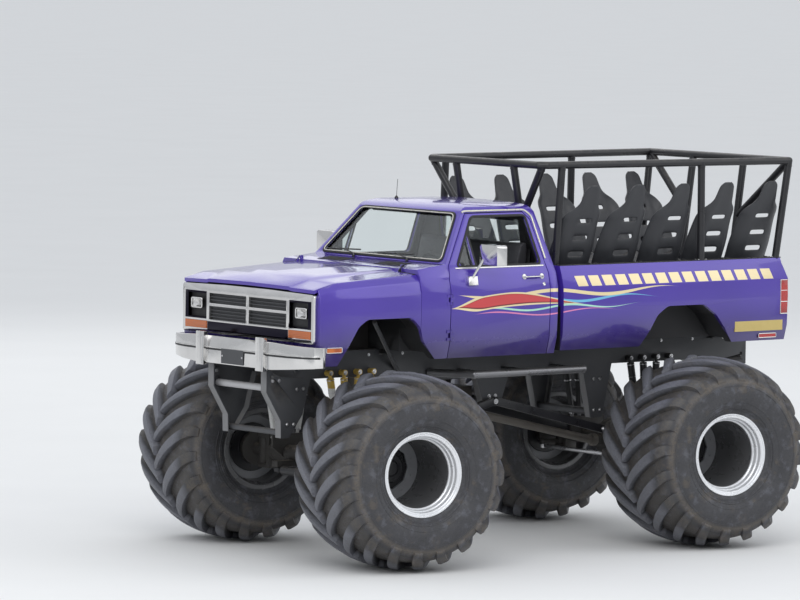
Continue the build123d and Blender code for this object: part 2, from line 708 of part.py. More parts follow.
with BuildPart() as cab_shell:
    cross_profile(CAB_SECTION, CAB_REAR_X, COWL_X)
    side_profile(CAB_SILHOUETTE, -BODY_HALF_WIDTH, BODY_HALF_WIDTH, Mode.INTERSECT)
    add(cabin_space.part, mode=Mode.SUBTRACT)
    block((CAB_REAR_X - 1, COWL_X + 1), (-SILL_INNER_Y, SILL_INNER_Y), (SILL_Z - 1, BODY_Z), Mode.SUBTRACT)
    reach = BODY_HALF_WIDTH + BEYOND
    both_flanks(door_outline(SILL_Z), DOOR_SILL_Y, reach, Mode.SUBTRACT, inset=-PANEL_GAP)
    both_flanks(door_outline(CAB_FLOOR_TOP + 2 * PANEL_GAP), WINDOW_FRAME_Y, reach, Mode.SUBTRACT, inset=-PANEL_GAP)
    arch_cut(FRONT_ARCH)
    with BuildSketch(SCREEN_PLANE) as screen_hole:
        with BuildLine():
            Polyline(*screen_outline(SCREEN_MARGIN), close=True)
        make_face()
        fillet(screen_hole.vertices(), SCREEN_CORNER)
    extrude(amount=120, both=True, mode=Mode.SUBTRACT)
    block((CAB_REAR_X - 20, CAB_REAR_X + 120), (-REAR_WINDOW_HALF_WIDTH, REAR_WINDOW_HALF_WIDTH),
          (REAR_WINDOW_LOW, REAR_WINDOW_HIGH), Mode.SUBTRACT)
    door_hinges(on_door=False)
    side_profile([(1424, 2498), (1456, 2498), (1452, 2536), (1428, 2536)], *HOOD_EAR_Y)
    split(bisect_by=Plane.XZ, keep=Keep.BOTTOM)
    mirror(about=Plane.XZ)
    for side in SIDES:
        bar((HOOD_AXIS[0], side * HOOD_EAR_Y[0], HOOD_AXIS[1]), (HOOD_AXIS[0], side * HOOD_EAR_Y[1], HOOD_AXIS[1]),
            HOOD_PIN_RADIUS + PIN_CLEARANCE, Mode.SUBTRACT)
save(cab_shell.part, "cab_shell")

with BuildPart() as cab_glass:
    with BuildSketch(SCREEN_PLANE.offset(-20)) as screen_glass:
        with BuildLine():
            Polyline(*screen_outline(SCREEN_MARGIN + FIT_CLEARANCE), close=True)
        make_face()
        fillet(screen_glass.vertices(), SCREEN_CORNER)
    extrude(amount=GLASS_THICKNESS)
    clear = FIT_CLEARANCE
    block((CAB_REAR_X + 40, CAB_REAR_X + 40 + GLASS_THICKNESS),
          (clear - REAR_WINDOW_HALF_WIDTH, REAR_WINDOW_HALF_WIDTH - clear),
          (REAR_WINDOW_LOW + clear, REAR_WINDOW_HIGH - clear))
save(cab_glass.part, "cab_glass")

VENT_POST_X = 800
VENT_POST_HALF = 9
WINDOW_LEAN = 200
MIRROR_FOOT_X = 900


def leaning_strip(inner_inset, outer_inset):
    """Upright strip in the plane of the door's window, between two insets from the body's half width."""
    inner, outer = BODY_HALF_WIDTH - inner_inset, BODY_HALF_WIDTH - outer_inset
    foot_z, head_z = BELT_Z - 30, BELT_Z + 410
    return [(inner, foot_z), (outer, foot_z), (outer - WINDOW_LEAN, head_z), (inner - WINDOW_LEAN, head_z)]


with BuildPart() as vent_post:
    cross_profile(leaning_strip(117, 93), VENT_POST_X - VENT_POST_HALF, VENT_POST_X + VENT_POST_HALF)
    side_profile(WINDOW_OUTLINE, WINDOW_FRAME_Y, BODY_HALF_WIDTH, Mode.INTERSECT, inset=-VENT_POST_HALF)

with BuildPart() as door_left:
    cross_profile(CAB_SECTION, CAB_REAR_X, COWL_X)
    cross_profile(CAB_SECTION, CAB_REAR_X, COWL_X, Mode.SUBTRACT, inset=CAB_WALL)
    side_profile(door_outline(SILL_Z), WINDOW_FRAME_Y, BODY_HALF_WIDTH + BEYOND, Mode.INTERSECT)
    side_profile(WINDOW_OUTLINE, WINDOW_FRAME_Y, BODY_HALF_WIDTH + BEYOND, Mode.SUBTRACT, corner=WINDOW_CORNER)
    block((CAB_REAR_X, COWL_X), (0, DOOR_SILL_Y + PANEL_GAP), (SILL_Z - 1, CAB_FLOOR_TOP), Mode.SUBTRACT)
    add(vent_post.part)
    door_hinges(on_door=True)
save(door_left.part, "door_left")

with BuildPart() as door_right:
    mirror(door_left.part, about=Plane.XZ)
save(door_right.part, "door_right")

# Vent pane: fills the window's front corner, in the middle of the frame's thickness
with BuildPart() as vent_left:
    with BuildSketch(Plane.YZ):
        with BuildLine():
            Polyline(*leaning_strip(112, 106), close=True)
        make_face()
    extrude(amount=COWL_X)
    side_profile(WINDOW_OUTLINE, WINDOW_FRAME_Y, BODY_HALF_WIDTH, Mode.INTERSECT, FIT_CLEARANCE, WINDOW_CORNER)
    block((VENT_POST_X + VENT_POST_HALF + FIT_CLEARANCE, COWL_X), (WINDOW_FRAME_Y, BODY_HALF_WIDTH),
          (SILL_Z, ROOF_TOP_Z), Mode.INTERSECT)
save(vent_left.part, "vent_glass_left")

with BuildPart() as vent_right:
    mirror(vent_left.part, about=Plane.XZ)
save(vent_right.part, "vent_glass_right")

# Door mirror: foot on the door's shoulder, arm and head
MIRROR_HEAD = (790, BODY_HALF_WIDTH + 140, 2625)
MIRROR_HEAD_SIZE = (110, 235, 175)
with BuildPart() as mirror_left:
    cross_profile([(BODY_HALF_WIDTH - 13.7, 2360), (BODY_HALF_WIDTH + 15, 2360), (BODY_HALF_WIDTH + 2, 2435),
                   (BODY_HALF_WIDTH - 32.4, 2435)], MIRROR_FOOT_X - 50, MIRROR_FOOT_X + 50)
    bar((MIRROR_FOOT_X, BODY_HALF_WIDTH - 6, 2420), (MIRROR_FOOT_X - 60, BODY_HALF_WIDTH + 65, 2580), 11)
    with Locations(MIRROR_HEAD):
        Box(*MIRROR_HEAD_SIZE)
    fillet(mirror_left.edges().filter_by(Axis.X).group_by(Axis.Z)[-1], 28)
save(mirror_left.part, "mirror_left")

with BuildPart() as mirror_right:
    mirror(mirror_left.part, about=Plane.XZ)
save(mirror_right.part, "mirror_right")

# Cab inside: dashboard, steering wheel on its column, and a bench seat
DASH_REAR_X = 1010
WHEEL_CENTRE = Vector(800, 400, 2430)
COLUMN_FOOT = Vector(1080, 400, 2270)
dash_front = FIREWALL_X - FIT_CLEARANCE
with BuildPart() as dashboard:
    side_profile([(DASH_REAR_X, 2180), (1120, 2120), (dash_front, 2120), (dash_front, 2380), (1130, 2455),
                  (DASH_REAR_X, 2430)], 150 - BODY_HALF_WIDTH, BODY_HALF_WIDTH - 150)
    bar(COLUMN_FOOT, WHEEL_CENTRE, 24)
    column = (WHEEL_CENTRE - COLUMN_FOOT).normalized()
    with BuildSketch(Plane(origin=WHEEL_CENTRE, x_dir=(0, 1, 0), z_dir=column)):
        Circle(195)
        Circle(165, mode=Mode.SUBTRACT)
        Rectangle(360, 34)
    extrude(amount=26)
save(dashboard.part, "dashboard")

with BuildPart() as bench_seat:
    side_profile([(20, 2120), (60, CAB_FLOOR_TOP), (560, CAB_FLOOR_TOP), (610, 2200), (560, 2240), (230, 2210),
                  (110, 2700), (40, 2720), (15, 2640)], 290 - BODY_HALF_WIDTH, BODY_HALF_WIDTH - 290)
save(bench_seat.part, "bench_seat")

# Front fenders with the apron between them: outer skin at the rear and at the nose, (Y, Z)
FENDER_SHOULDER_Y = BODY_HALF_WIDTH - 80
FENDER_REAR_LINE = [
    (BODY_HALF_WIDTH - 38, FENDER_BOTTOM_Z),
    (BODY_HALF_WIDTH - 8, 1880),
    (BODY_HALF_WIDTH, 2150),
    (BODY_HALF_WIDTH - 4, 2300),
    (BODY_HALF_WIDTH - 30, 2400),
    (FENDER_SHOULDER_Y, 2464),
]
FENDER_MID_LINE = [
    (BODY_HALF_WIDTH - 46, FENDER_BOTTOM_Z),
    (BODY_HALF_WIDTH - 20, 1880),
    (BODY_HALF_WIDTH - 10, 2150),
    (BODY_HALF_WIDTH - 16, 2278),
    (BODY_HALF_WIDTH - 36, 2362),
    (FENDER_SHOULDER_Y, 2410),
]
FENDER_NOSE_LINE = [
    (BODY_HALF_WIDTH - 62, FENDER_BOTTOM_Z),
    (BODY_HALF_WIDTH - 44, 1880),
    (BODY_HALF_WIDTH - 36, 2150),
    (BODY_HALF_WIDTH - 42, 2240),
    (BODY_HALF_WIDTH - 55, 2318),
    (FENDER_SHOULDER_Y, 2364),
]
FENDER_REAR_X = COWL_X + FIT_CLEARANCE
FENDER_MID_X = 2350
FENDER_NOSE_X = 2518
HOOD_HALF_WIDTH = FENDER_SHOULDER_Y - PANEL_GAP
HOOD_CREASE_Y = HOOD_HALF_WIDTH - 322
HOOD_REAR_X = COWL_X + PANEL_GAP
APRON_X = 2400
APRON_TOP = 1990
LEDGE_DROP = HOOD_THICKNESS + 16


def fender_section(x, line):
    """Closed fender section: skin, ledge under the hood, inner wall."""
    top = line[-1][1]
    ledge = [(FENDER_SHOULDER_Y, top - LEDGE_DROP), (FENDER_INNER_Y, top - LEDGE_DROP),
             (FENDER_INNER_Y, FENDER_BOTTOM_Z)]
    with BuildSketch(Plane.YZ.offset(x)) as section:
        with BuildLine():
            Polyline(*(line + ledge), close=True)
        make_face()
    return section.sketch


with BuildPart() as front_fenders:
    loft([fender_section(FENDER_REAR_X, FENDER_REAR_LINE), fender_section(FENDER_MID_X, FENDER_MID_LINE),
          fender_section(FENDER_NOSE_X, FENDER_NOSE_LINE)], ruled=True)
    mirror(about=Plane.XZ)
    arch_cut(FRONT_ARCH)
    block((APRON_X, FENDER_NOSE_X), (-FENDER_INNER_Y, FENDER_INNER_Y), (BODY_Z, APRON_TOP))
save(front_fenders.part, "front_fenders")

# Hood: its top line at the rear and at the nose, (Y, Z)
HOOD_NOSE_X = 2552
HOOD_REAR_LINE = [(HOOD_HALF_WIDTH, 2466), (HOOD_CREASE_Y + 26, 2484), (HOOD_CREASE_Y, 2496), (0, 2505)]
HOOD_MID_LINE = [(HOOD_HALF_WIDTH, 2412), (HOOD_CREASE_Y + 8, 2424), (HOOD_CREASE_Y - 18, 2436), (0, 2444)]
HOOD_NOSE_LINE = [(HOOD_HALF_WIDTH, 2360), (HOOD_CREASE_Y - 6, 2366), (HOOD_CREASE_Y - 32, 2374), (0, 2380)]


def hood_section(x, line):
    """Closed hood section, its skin as thick as the whole hood."""
    top = line + [(-y, z) for y, z in reversed(line[:-1])]
    under = [(y, z - HOOD_THICKNESS) for y, z in reversed(top)]
    with BuildSketch(Plane.YZ.offset(x)) as section:
        with BuildLine():
            Polyline(*(top + under), close=True)
        make_face()
    return section.sketch


with BuildPart() as hood:
    loft([hood_section(HOOD_REAR_X, HOOD_REAR_LINE), hood_section(FENDER_MID_X, HOOD_MID_LINE),
          hood_section(HOOD_NOSE_X, HOOD_NOSE_LINE)], ruled=True)
    for y_low, y_high in (HOOD_ARM_Y, (-HOOD_ARM_Y[1], -HOOD_ARM_Y[0])):
        side_profile([(1470, 2460), (1500, 2460), (1500, 2478), (1448, 2534), (1432, 2534), (1432, 2518), (1463, 2513)],
                     y_low, y_high)
    for side in SIDES:
        bar((HOOD_AXIS[0], side * HOOD_EAR_Y[0], HOOD_AXIS[1]), (HOOD_AXIS[0], side * HOOD_ARM_Y[1], HOOD_AXIS[1]),
            HOOD_PIN_RADIUS)
save(hood.part, "hood")

# Nose: chrome surround with its four openings, lamp recesses and signal slots
SURROUND_HALF_WIDTH = BODY_HALF_WIDTH - 80
SURROUND_CORNER = 24
SURROUND_LOW = 1905
SURROUND_TOP = 2320
SURROUND_REAR_X = FENDER_NOSE_X + FIT_CLEARANCE
GRILLE_LOW = 2020
GRILLE_HIGH = 2255
GRILLE_BAR = (2143, 2161)
GRILLE_INNER_Y = 16
GRILLE_OUTER_Y = SURROUND_HALF_WIDTH - 378
LAMP_RECESS_Y = (SURROUND_HALF_WIDTH - 338, SURROUND_HALF_WIDTH - 78)
LAMP_RECESS_Z = (2036, 2245)
SIGNAL_Y = (SURROUND_HALF_WIDTH - 348, SURROUND_HALF_WIDTH - 38)
SIGNAL_Z = (1941, 2009)

with BuildPart() as surround:
    cross_profile(both_sides([(SURROUND_HALF_WIDTH, SURROUND_LOW), (SURROUND_HALF_WIDTH, SURROUND_TOP),
                              (300, SURROUND_TOP + 12)]), SURROUND_REAR_X, NOSE_X, corner=SURROUND_CORNER)
    for side in SIDES:
        for y_limits, z_limits in (
            ((GRILLE_INNER_Y, GRILLE_OUTER_Y), (GRILLE_LOW, GRILLE_BAR[0])),
            ((GRILLE_INNER_Y, GRILLE_OUTER_Y), (GRILLE_BAR[1], GRILLE_HIGH)),
            (LAMP_RECESS_Y, LAMP_RECESS_Z),
            (SIGNAL_Y, SIGNAL_Z),
        ):
            block((SURROUND_REAR_X - 1, NOSE_X + 1), (side * y_limits[0], side * y_limits[1]), z_limits,
                  Mode.SUBTRACT)
save(surround.part, "grille_surround")

# Dark grille: a plate behind the surround with fins in the openings
GRILLE_PLATE = 20
FIN_PITCH = 29
FIN_HEIGHT = 8
FIN_COUNT = 7
with BuildPart() as grille:
    block((SURROUND_REAR_X - FIT_CLEARANCE - GRILLE_PLATE, SURROUND_REAR_X - FIT_CLEARANCE),
          (-FENDER_INNER_Y + FIT_CLEARANCE, FENDER_INNER_Y - FIT_CLEARANCE), (APRON_TOP + FIT_CLEARANCE, 2310))
    for index in range(FIN_COUNT):
        fin_z = GRILLE_LOW + 26 + index * FIN_PITCH
        if GRILLE_BAR[0] - FIN_HEIGHT < fin_z < GRILLE_BAR[1] + FIN_HEIGHT:
            continue
        for side in SIDES:
            block((SURROUND_REAR_X - 2, NOSE_X - 14),
                  (side * (GRILLE_INNER_Y + 1), side * (GRILLE_OUTER_Y - 1)),
                  (fin_z - FIN_HEIGHT / 2, fin_z + FIN_HEIGHT / 2))
save(grille.part, "grille")

HEADLAMP_Y = (LAMP_RECESS_Y[0] + 68, LAMP_RECESS_Y[1] - 28)
HEADLAMP_Z = (2106, 2206)
with BuildPart() as headlamps:
    for side in SIDES:
        block((SURROUND_REAR_X, NOSE_X - 6), (side * HEADLAMP_Y[0], side * HEADLAMP_Y[1]), HEADLAMP_Z)
save(headlamps.part, "headlamps")

with BuildPart() as amber_lamps:
    for side in SIDES:
        block((SURROUND_REAR_X, NOSE_X + 4), (side * (SIGNAL_Y[0] + 1), side * (SIGNAL_Y[1] - 1)),
              (SIGNAL_Z[0] + 1, SIGNAL_Z[1] - 1))
save(amber_lamps.part, "amber_lamps")

# Front bumper, swept back at its ends, with two overriders
BUMPER_FACE_X = 2710
BUMPER_GAUGE = 34
BUMPER_LOW = 1668
BUMPER_TOP = 1903
BUMPER_STRAIGHT_Y = BODY_HALF_WIDTH - 460
BUMPER_HALF_WIDTH = BODY_HALF_WIDTH + 10
BUMPER_END_TOP = BUMPER_TOP - 24
BUMPER_END_LOW = BUMPER_LOW + 36
with BuildPart() as bumper:
    face = [(BUMPER_FACE_X, BUMPER_STRAIGHT_Y), (BUMPER_FACE_X - 18, BODY_HALF_WIDTH - 260),
            (BUMPER_FACE_X - 62, BODY_HALF_WIDTH - 110), (BUMPER_FACE_X - 120, BODY_HALF_WIDTH - 20),
            (BUMPER_FACE_X - 190, BUMPER_HALF_WIDTH)]
    back = [(x - BUMPER_GAUGE, y - 12) for x, y in face]
    half = face + back[::-1]
    plan_profile(half + [(x, -y) for x, y in reversed(half)], BUMPER_LOW, BUMPER_TOP)
    cross_profile(both_sides([(BUMPER_STRAIGHT_Y, BUMPER_LOW), (BUMPER_HALF_WIDTH, BUMPER_END_LOW),
                              (BUMPER_HALF_WIDTH, BUMPER_END_TOP), (BUMPER_STRAIGHT_Y, BUMPER_TOP)]),
                  FRAME_FRONT_X - 300, BUMPER_FACE_X, Mode.INTERSECT)
    for side in SIDES:
        block((BUMPER_FACE_X - 5, BUMPER_FACE_X + 40), (side * 370, side * 480), (1650, 1937))
        block((FRAME_FRONT_X + FIT_CLEARANCE, BUMPER_FACE_X - BUMPER_GAUGE + 1),
              (side * (FRAME_INNER_Y + 10), side * (FRAME_OUTER_Y - 10)), (1680, 1780))
save(bumper.part, "front_bumper")

# Bed: outer side line, sill to rail, (Y, Z)
BED_SIDE_LINE = [
    (BODY_HALF_WIDTH - 48, BED_SILL_Z),
    (BODY_HALF_WIDTH - 10, 1890),
    (BODY_HALF_WIDTH, 2150),
    (BODY_HALF_WIDTH - 6, 2310),
    (BODY_HALF_WIDTH - 38, 2420),
    (BODY_HALF_WIDTH - 64, BED_RAIL_Z),
]
BED_POST_X = BED_REAR_X + TAILGATE_THICKNESS + PANEL_GAP
BED_OPENING_Y = BODY_HALF_WIDTH - 202
TAIL_LAMP_X = -2662
TAIL_LAMP_INNER_Y = BODY_HALF_WIDTH - 120
TAIL_LAMP_Z = (1987, 2300)
WHEELHOUSE_X = (-2240, -930)
WHEELHOUSE_TOP = 2150
GATE_AXIS = (-2730, 1850)
GATE_PIN_RADIUS = 12
GATE_PIN_DEPTH = 30

with BuildPart() as bed:
    cross_profile(both_sides(BED_SIDE_LINE), BED_REAR_X, BED_FRONT_X)
    block((BED_REAR_X - 1, BED_FRONT_X + 1), (-SILL_INNER_Y, SILL_INNER_Y), (BED_SILL_Z - 1, BODY_Z), Mode.SUBTRACT)
    block((BED_POST_X, BED_FRONT_X - BED_FRONT_WALL), (-BED_INNER_Y, BED_INNER_Y), (BED_FLOOR_TOP, 2600),
          Mode.SUBTRACT)
    block((BED_REAR_X - 1, BED_POST_X), (-BED_OPENING_Y, BED_OPENING_Y), (BED_SILL_Z - 1, 2600), Mode.SUBTRACT)
    # Sloped rear ends of the rails
    side_profile([(BED_REAR_X - 1, 2300), (BED_REAR_X, 2307), (-2710, 2442), (-2700, 2600), (BED_REAR_X - 1, 2600)],
                 -BODY_HALF_WIDTH - BEYOND, BODY_HALF_WIDTH + BEYOND, Mode.SUBTRACT)
    for side in SIDES:
        block(WHEELHOUSE_X, (side * (ARCH_INNER_Y - 40), side * (BED_INNER_Y + 5)), (BED_FLOOR_TOP - 5, WHEELHOUSE_TOP))
        # Seat deck along the side, on its own front wall
        block((BED_POST_X, BED_FRONT_X - BED_FRONT_WALL + 5), (side * BENCH_FRONT_Y, side * (BED_INNER_Y + 5)),
              (BENCH_TOP - BENCH_GAUGE, BENCH_TOP))
        block((BED_POST_X, BED_FRONT_X - BED_FRONT_WALL + 5),
              (side * BENCH_FRONT_Y, side * (BENCH_FRONT_Y + BENCH_GAUGE)), (BED_FLOOR_TOP - 5, BENCH_TOP))
        block((BED_REAR_X - 1, TAIL_LAMP_X), (side * TAIL_LAMP_INNER_Y, side * (BODY_HALF_WIDTH + BEYOND)), TAIL_LAMP_Z,
              Mode.SUBTRACT)
        bar((GATE_AXIS[0], side * (BED_OPENING_Y - 1), GATE_AXIS[1]),
            (GATE_AXIS[0], side * (BED_OPENING_Y + GATE_PIN_DEPTH + 2), GATE_AXIS[1]), GATE_PIN_RADIUS + PIN_CLEARANCE,
            Mode.SUBTRACT)
    arch_cut(REAR_ARCH)
save(bed.part, "bed")

with BuildPart() as tail_lamps:
    cross_profile(both_sides(BED_SIDE_LINE), BED_REAR_X, TAIL_LAMP_X - FIT_CLEARANCE)
    side_profile([(BED_REAR_X, TAIL_LAMP_Z[0] + FIT_CLEARANCE), (BED_REAR_X, TAIL_LAMP_Z[1] - FIT_CLEARANCE),
                  (TAIL_LAMP_X, TAIL_LAMP_Z[1] - FIT_CLEARANCE), (TAIL_LAMP_X, TAIL_LAMP_Z[0] + FIT_CLEARANCE)],
                 -BODY_HALF_WIDTH, BODY_HALF_WIDTH, Mode.INTERSECT)
    inner = TAIL_LAMP_INNER_Y + FIT_CLEARANCE
    block((BED_REAR_X - 1, TAIL_LAMP_X), (-inner, inner), (1900, 2400), Mode.SUBTRACT)
save(tail_lamps.part, "tail_lamps")

with BuildPart() as tailgate:
    gate_front = BED_REAR_X + TAILGATE_THICKNESS
    side_profile([(BED_REAR_X, BED_FLOOR_TOP + PANEL_GAP), (BED_REAR_X, 2307), (BED_REAR_X + 26, TAILGATE_TOP),
                  (gate_front, TAILGATE_TOP), (gate_front, BED_FLOOR_TOP + PANEL_GAP)],
                 PANEL_GAP - BED_OPENING_Y, BED_OPENING_Y - PANEL_GAP)
    pin_end = BED_OPENING_Y + GATE_PIN_DEPTH
    bar((GATE_AXIS[0], -pin_end, GATE_AXIS[1]), (GATE_AXIS[0], pin_end, GATE_AXIS[1]), GATE_PIN_RADIUS)
save(tailgate.part, "tailgate")

# Cage tubes: runs of centre points, given for the left side, mirrored to the right
Point = namedtuple("Point", "x y z")
CAGE_FRONT_HALF = BODY_HALF_WIDTH - 210
CAGE_REAR_HALF = BODY_HALF_WIDTH - 60
CAGE_POST_HALF = BODY_HALF_WIDTH - 102
CAGE_POST_Z = BED_RAIL_Z + FIT_CLEARANCE
CAGE_SINK = 20
CAGE_RUNS = (
    (Point(CAGE_FRONT_X, 0, CAGE_TOP_Z), Point(CAGE_FRONT_X, CAGE_FRONT_HALF - 60, CAGE_TOP_Z),
     Point(CAGE_FRONT_X - 60, CAGE_FRONT_HALF, CAGE_TOP_Z), Point(CAGE_REAR_X, CAGE_REAR_HALF, CAGE_TOP_Z),
     Point(CAGE_REAR_X, 0, CAGE_TOP_Z)),
    (Point(-250, CAGE_FRONT_HALF + 10, CAGE_TOP_Z), Point(-202, CAGE_FRONT_HALF - 10, 2470),
     Point(-202, CAGE_FRONT_HALF - 10, BENCH_TOP + FIT_CLEARANCE)),
    (Point(CAGE_FRONT_X, 400, CAGE_TOP_Z), Point(-205, 400, 2490), Point(-205, 345, 2400),
     Point(-205, 345, BED_FLOOR_TOP + FIT_CLEARANCE)),
    (Point(CAGE_FRONT_X - 30, CAGE_FRONT_HALF - 30, CAGE_TOP_Z), Point(-133, 400, 2860)),
    (Point(-1793, CAGE_POST_HALF - 12, CAGE_TOP_Z), Point(-1793, CAGE_POST_HALF, CAGE_POST_Z - CAGE_SINK)),
    (Point(CAGE_REAR_X, CAGE_REAR_HALF, CAGE_TOP_Z), Point(-2669, CAGE_POST_HALF + 13, CAGE_POST_Z - CAGE_SINK)),
    (Point(CAGE_REAR_X, 345, CAGE_TOP_Z), Point(-2660, 345, 2440), Point(-2660, 345, BED_FLOOR_TOP + FIT_CLEARANCE)),
    (Point(CAGE_REAR_X, CAGE_REAR_HALF, CAGE_TOP_Z), Point(-2719, 345, 2830)),
)

with BuildPart() as cage:
    for run in CAGE_RUNS:
        for start, end in zip(run, run[1:]):
            bar(start, end, CAGE_TUBE_RADIUS)
        for bend in run[1:-1]:
            ball(bend, CAGE_TUBE_RADIUS)
    block((CAGE_REAR_X, CAGE_FRONT_X), (BED_INNER_Y - CAGE_TUBE_RADIUS, BODY_HALF_WIDTH),
          (CAGE_POST_Z - 2 * CAGE_SINK, CAGE_POST_Z), Mode.SUBTRACT)
    mirror(about=Plane.XZ)
save(cage.part, "cage")

# Bucket seats along both sides of the bed, backs leaning outward
BACK_FOOT = (BODY_HALF_WIDTH - 342, 2410)
BACK_HEAD = (BODY_HALF_WIDTH - 35, CAGE_TOP_Z - 182)
BACK_LENGTH = math.dist(BACK_FOOT, BACK_HEAD)
BACK_CORNER = 48
BackStation = namedtuple("BackStation", "half_width share")
BACK_STATIONS = (
    BackStation(243, 0),
    BackStation(243, 0.24),
    BackStation(192, 0.70),
    BackStation(95, 0.85),
    BackStation(82, 1),
)
SLOT_SHARES = (0.30, 0.42, 0.54)
SLOT_LENGTH = 290
SLOT_HEIGHT = 34
PAN_INNER_Y = 395
PAN_LOW = 2394
PAN_HIGH = 2430
PAN_HALF_WIDTH = 235
BOLSTER_WIDTH = 40
BOLSTER_HEIGHT = 60
FOOT_HALF_WIDTH = 120
with BuildPart() as one_seat:
    lean = math.atan2(BACK_HEAD[0] - BACK_FOOT[0], BACK_HEAD[1] - BACK_FOOT[1])
    up_back = (0, math.sin(lean), math.cos(lean))
    normal = Vector(1, 0, 0).cross(Vector(*up_back))
    with BuildSketch(Plane(origin=(0, *BACK_FOOT), x_dir=(1, 0, 0), z_dir=normal)) as back:
        edge = [(station.half_width, station.share * BACK_LENGTH) for station in BACK_STATIONS]
        with BuildLine():
            Polyline(*both_sides(edge), close=True)
        make_face()
        fillet([vertex for vertex in back.vertices() if vertex.Y > BACK_CORNER], BACK_CORNER)
        with Locations(*[(0, share * BACK_LENGTH) for share in SLOT_SHARES]):
            SlotOverall(SLOT_LENGTH, SLOT_HEIGHT, mode=Mode.SUBTRACT)
    extrude(back.sketch, amount=SEAT_SHELL)
    block((-PAN_HALF_WIDTH, PAN_HALF_WIDTH), (PAN_INNER_Y, BACK_FOOT[0] + 12), (PAN_LOW, PAN_HIGH))
    for side in SIDES:
        block((side * (PAN_HALF_WIDTH - BOLSTER_WIDTH), side * PAN_HALF_WIDTH), (PAN_INNER_Y + 30, BACK_FOOT[0] + 10),
              (PAN_HIGH - 5, PAN_HIGH + BOLSTER_HEIGHT))
    for foot_y in (450, 620):
        block((-FOOT_HALF_WIDTH, FOOT_HALF_WIDTH), (foot_y - 20, foot_y + 20), (BENCH_TOP + FIT_CLEARANCE, PAN_LOW + 5))

with BuildPart() as bed_seats:
    for index in range(SEAT_COUNT):
        with Locations((SEAT_FIRST_X - index * SEAT_PITCH, 0, 0)):
            add(one_seat.part)
    mirror(about=Plane.XZ)
save(bed_seats.part, "bed_seats")

# Side tubes outside the frame
SIDE_TUBE_Y = 800
SIDE_TUBE_Z = 1565
SIDE_TUBE_RADIUS = 35
with BuildPart() as side_tubes:
    run = (Point(-544, SIDE_TUBE_Y, SIDE_TUBE_Z), Point(700, SIDE_TUBE_Y, SIDE_TUBE_Z),
           Point(900, FRAME_OUTER_Y + FIT_CLEARANCE, SIDE_TUBE_Z))
    for start, end in zip(run, run[1:]):
        bar(start, end, SIDE_TUBE_RADIUS)
    ball(run[1], SIDE_TUBE_RADIUS)
    for x in (-480, 60, 560):
        bar((x, FRAME_OUTER_Y + FIT_CLEARANCE, SIDE_TUBE_Z), (x, SIDE_TUBE_Y, SIDE_TUBE_Z), 22)
    block((FRAME_FRONT_X - 2200, 1100), (0, FRAME_OUTER_Y + FIT_CLEARANCE), (SIDE_TUBE_Z - 60, SIDE_TUBE_Z + 60),
          Mode.SUBTRACT)
    mirror(about=Plane.XZ)
save(side_tubes.part, "side_tubes")

# Ladder bars from the frame's gussets to the axles, in side view
LINK_OUTER_Y = 470
LINK_END = 86
with BuildPart() as axle_links:
    link_inner = FRAME_OUTER_Y + FIT_CLEARANCE
    rear_end = AXLE_REAR_X + LINK_END
    front_end = AXLE_FRONT_X - LINK_END
    both_flanks([(160, 1320), (-1060, 1020), (rear_end, 922), (rear_end, 850), (-1060, 948), (160, 1248)],
                link_inner, LINK_OUTER_Y)
    both_flanks([(200, 1320), (front_end, 922), (front_end, 850), (200, 1248)], link_inner, LINK_OUTER_Y)
save(axle_links.part, "axle_links")

# Shock absorbers: offset from the axle line at the top and at the foot
Shock = namedtuple("Shock", "top foot")
SHOCKS = (Shock(-235, -120), Shock(-80, -40), Shock(80, 40), Shock(235, 120))
SHOCK_TOP_Z = 1605
SHOCK_FOOT_Z = 975
SHOCK_Y = 458
SHOCK_EYE = 26
for axle in AXLES:
    with BuildPart() as shocks:
        for shock in SHOCKS:
            top = Vector(axle.x + shock.top, SHOCK_Y, SHOCK_TOP_Z)
            foot = Vector(axle.x + shock.foot, SHOCK_Y, SHOCK_FOOT_Z)
            along = (top - foot).normalized()
            bar(foot, top, 15)
            bar(foot + along * 60, top - along * 270, 26)
            bar(top - along * 280, top - along * 45, 32)
            for eye in (top, foot):
                bar((eye.X, FRAME_OUTER_Y + FIT_CLEARANCE, eye.Z), (eye.X, SHOCK_Y + 22, eye.Z), SHOCK_EYE)
        mirror(about=Plane.XZ)
    save(shocks.part, f"shocks_{axle.name}")

# Engine, gearbox and transfer case as plain blocks, with the propeller shafts
ENGINE_X = (1350, 2100)
ENGINE_UPPER_X = 1465
CASE_X = (213, 500)
SHAFT_RADIUS = 36
with BuildPart() as engine:
    block(ENGINE_X, (-290, 290), (1580, 1780))
    block((ENGINE_UPPER_X, ENGINE_X[1]), (-290, 290), (1770, 2080))
    block((1500, 1620), (-FRAME_INNER_Y + FIT_CLEARANCE, FRAME_INNER_Y - FIT_CLEARANCE), (1600, 1680))
save(engine.part, "engine")

with BuildPart() as driveline:
    block((CASE_X[1] - 10, ENGINE_X[0] - FIT_CLEARANCE), (-150, 150), (1320, 1585))
    block(CASE_X, (-170, 170), (1120, 1400))
    for axle, case_x in zip(AXLES, reversed(CASE_X)):
        end = Vector(axle.x - axle.ram_side * (PINION_REACH + FIT_CLEARANCE), 0, HUB_Z)
        joint = end - Vector(axle.ram_side * 50, 0, 0)
        bar((case_x - axle.ram_side * 5, 0, 1180), joint, SHAFT_RADIUS)
        bar(end, joint, PINION_RADIUS)
        ball(joint, SHAFT_RADIUS)
save(driveline.part, "driveline")
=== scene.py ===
import math
from functools import partialmethod

import bpy
from mathutils import Matrix, Vector
from mathutils.bvhtree import BVHTree

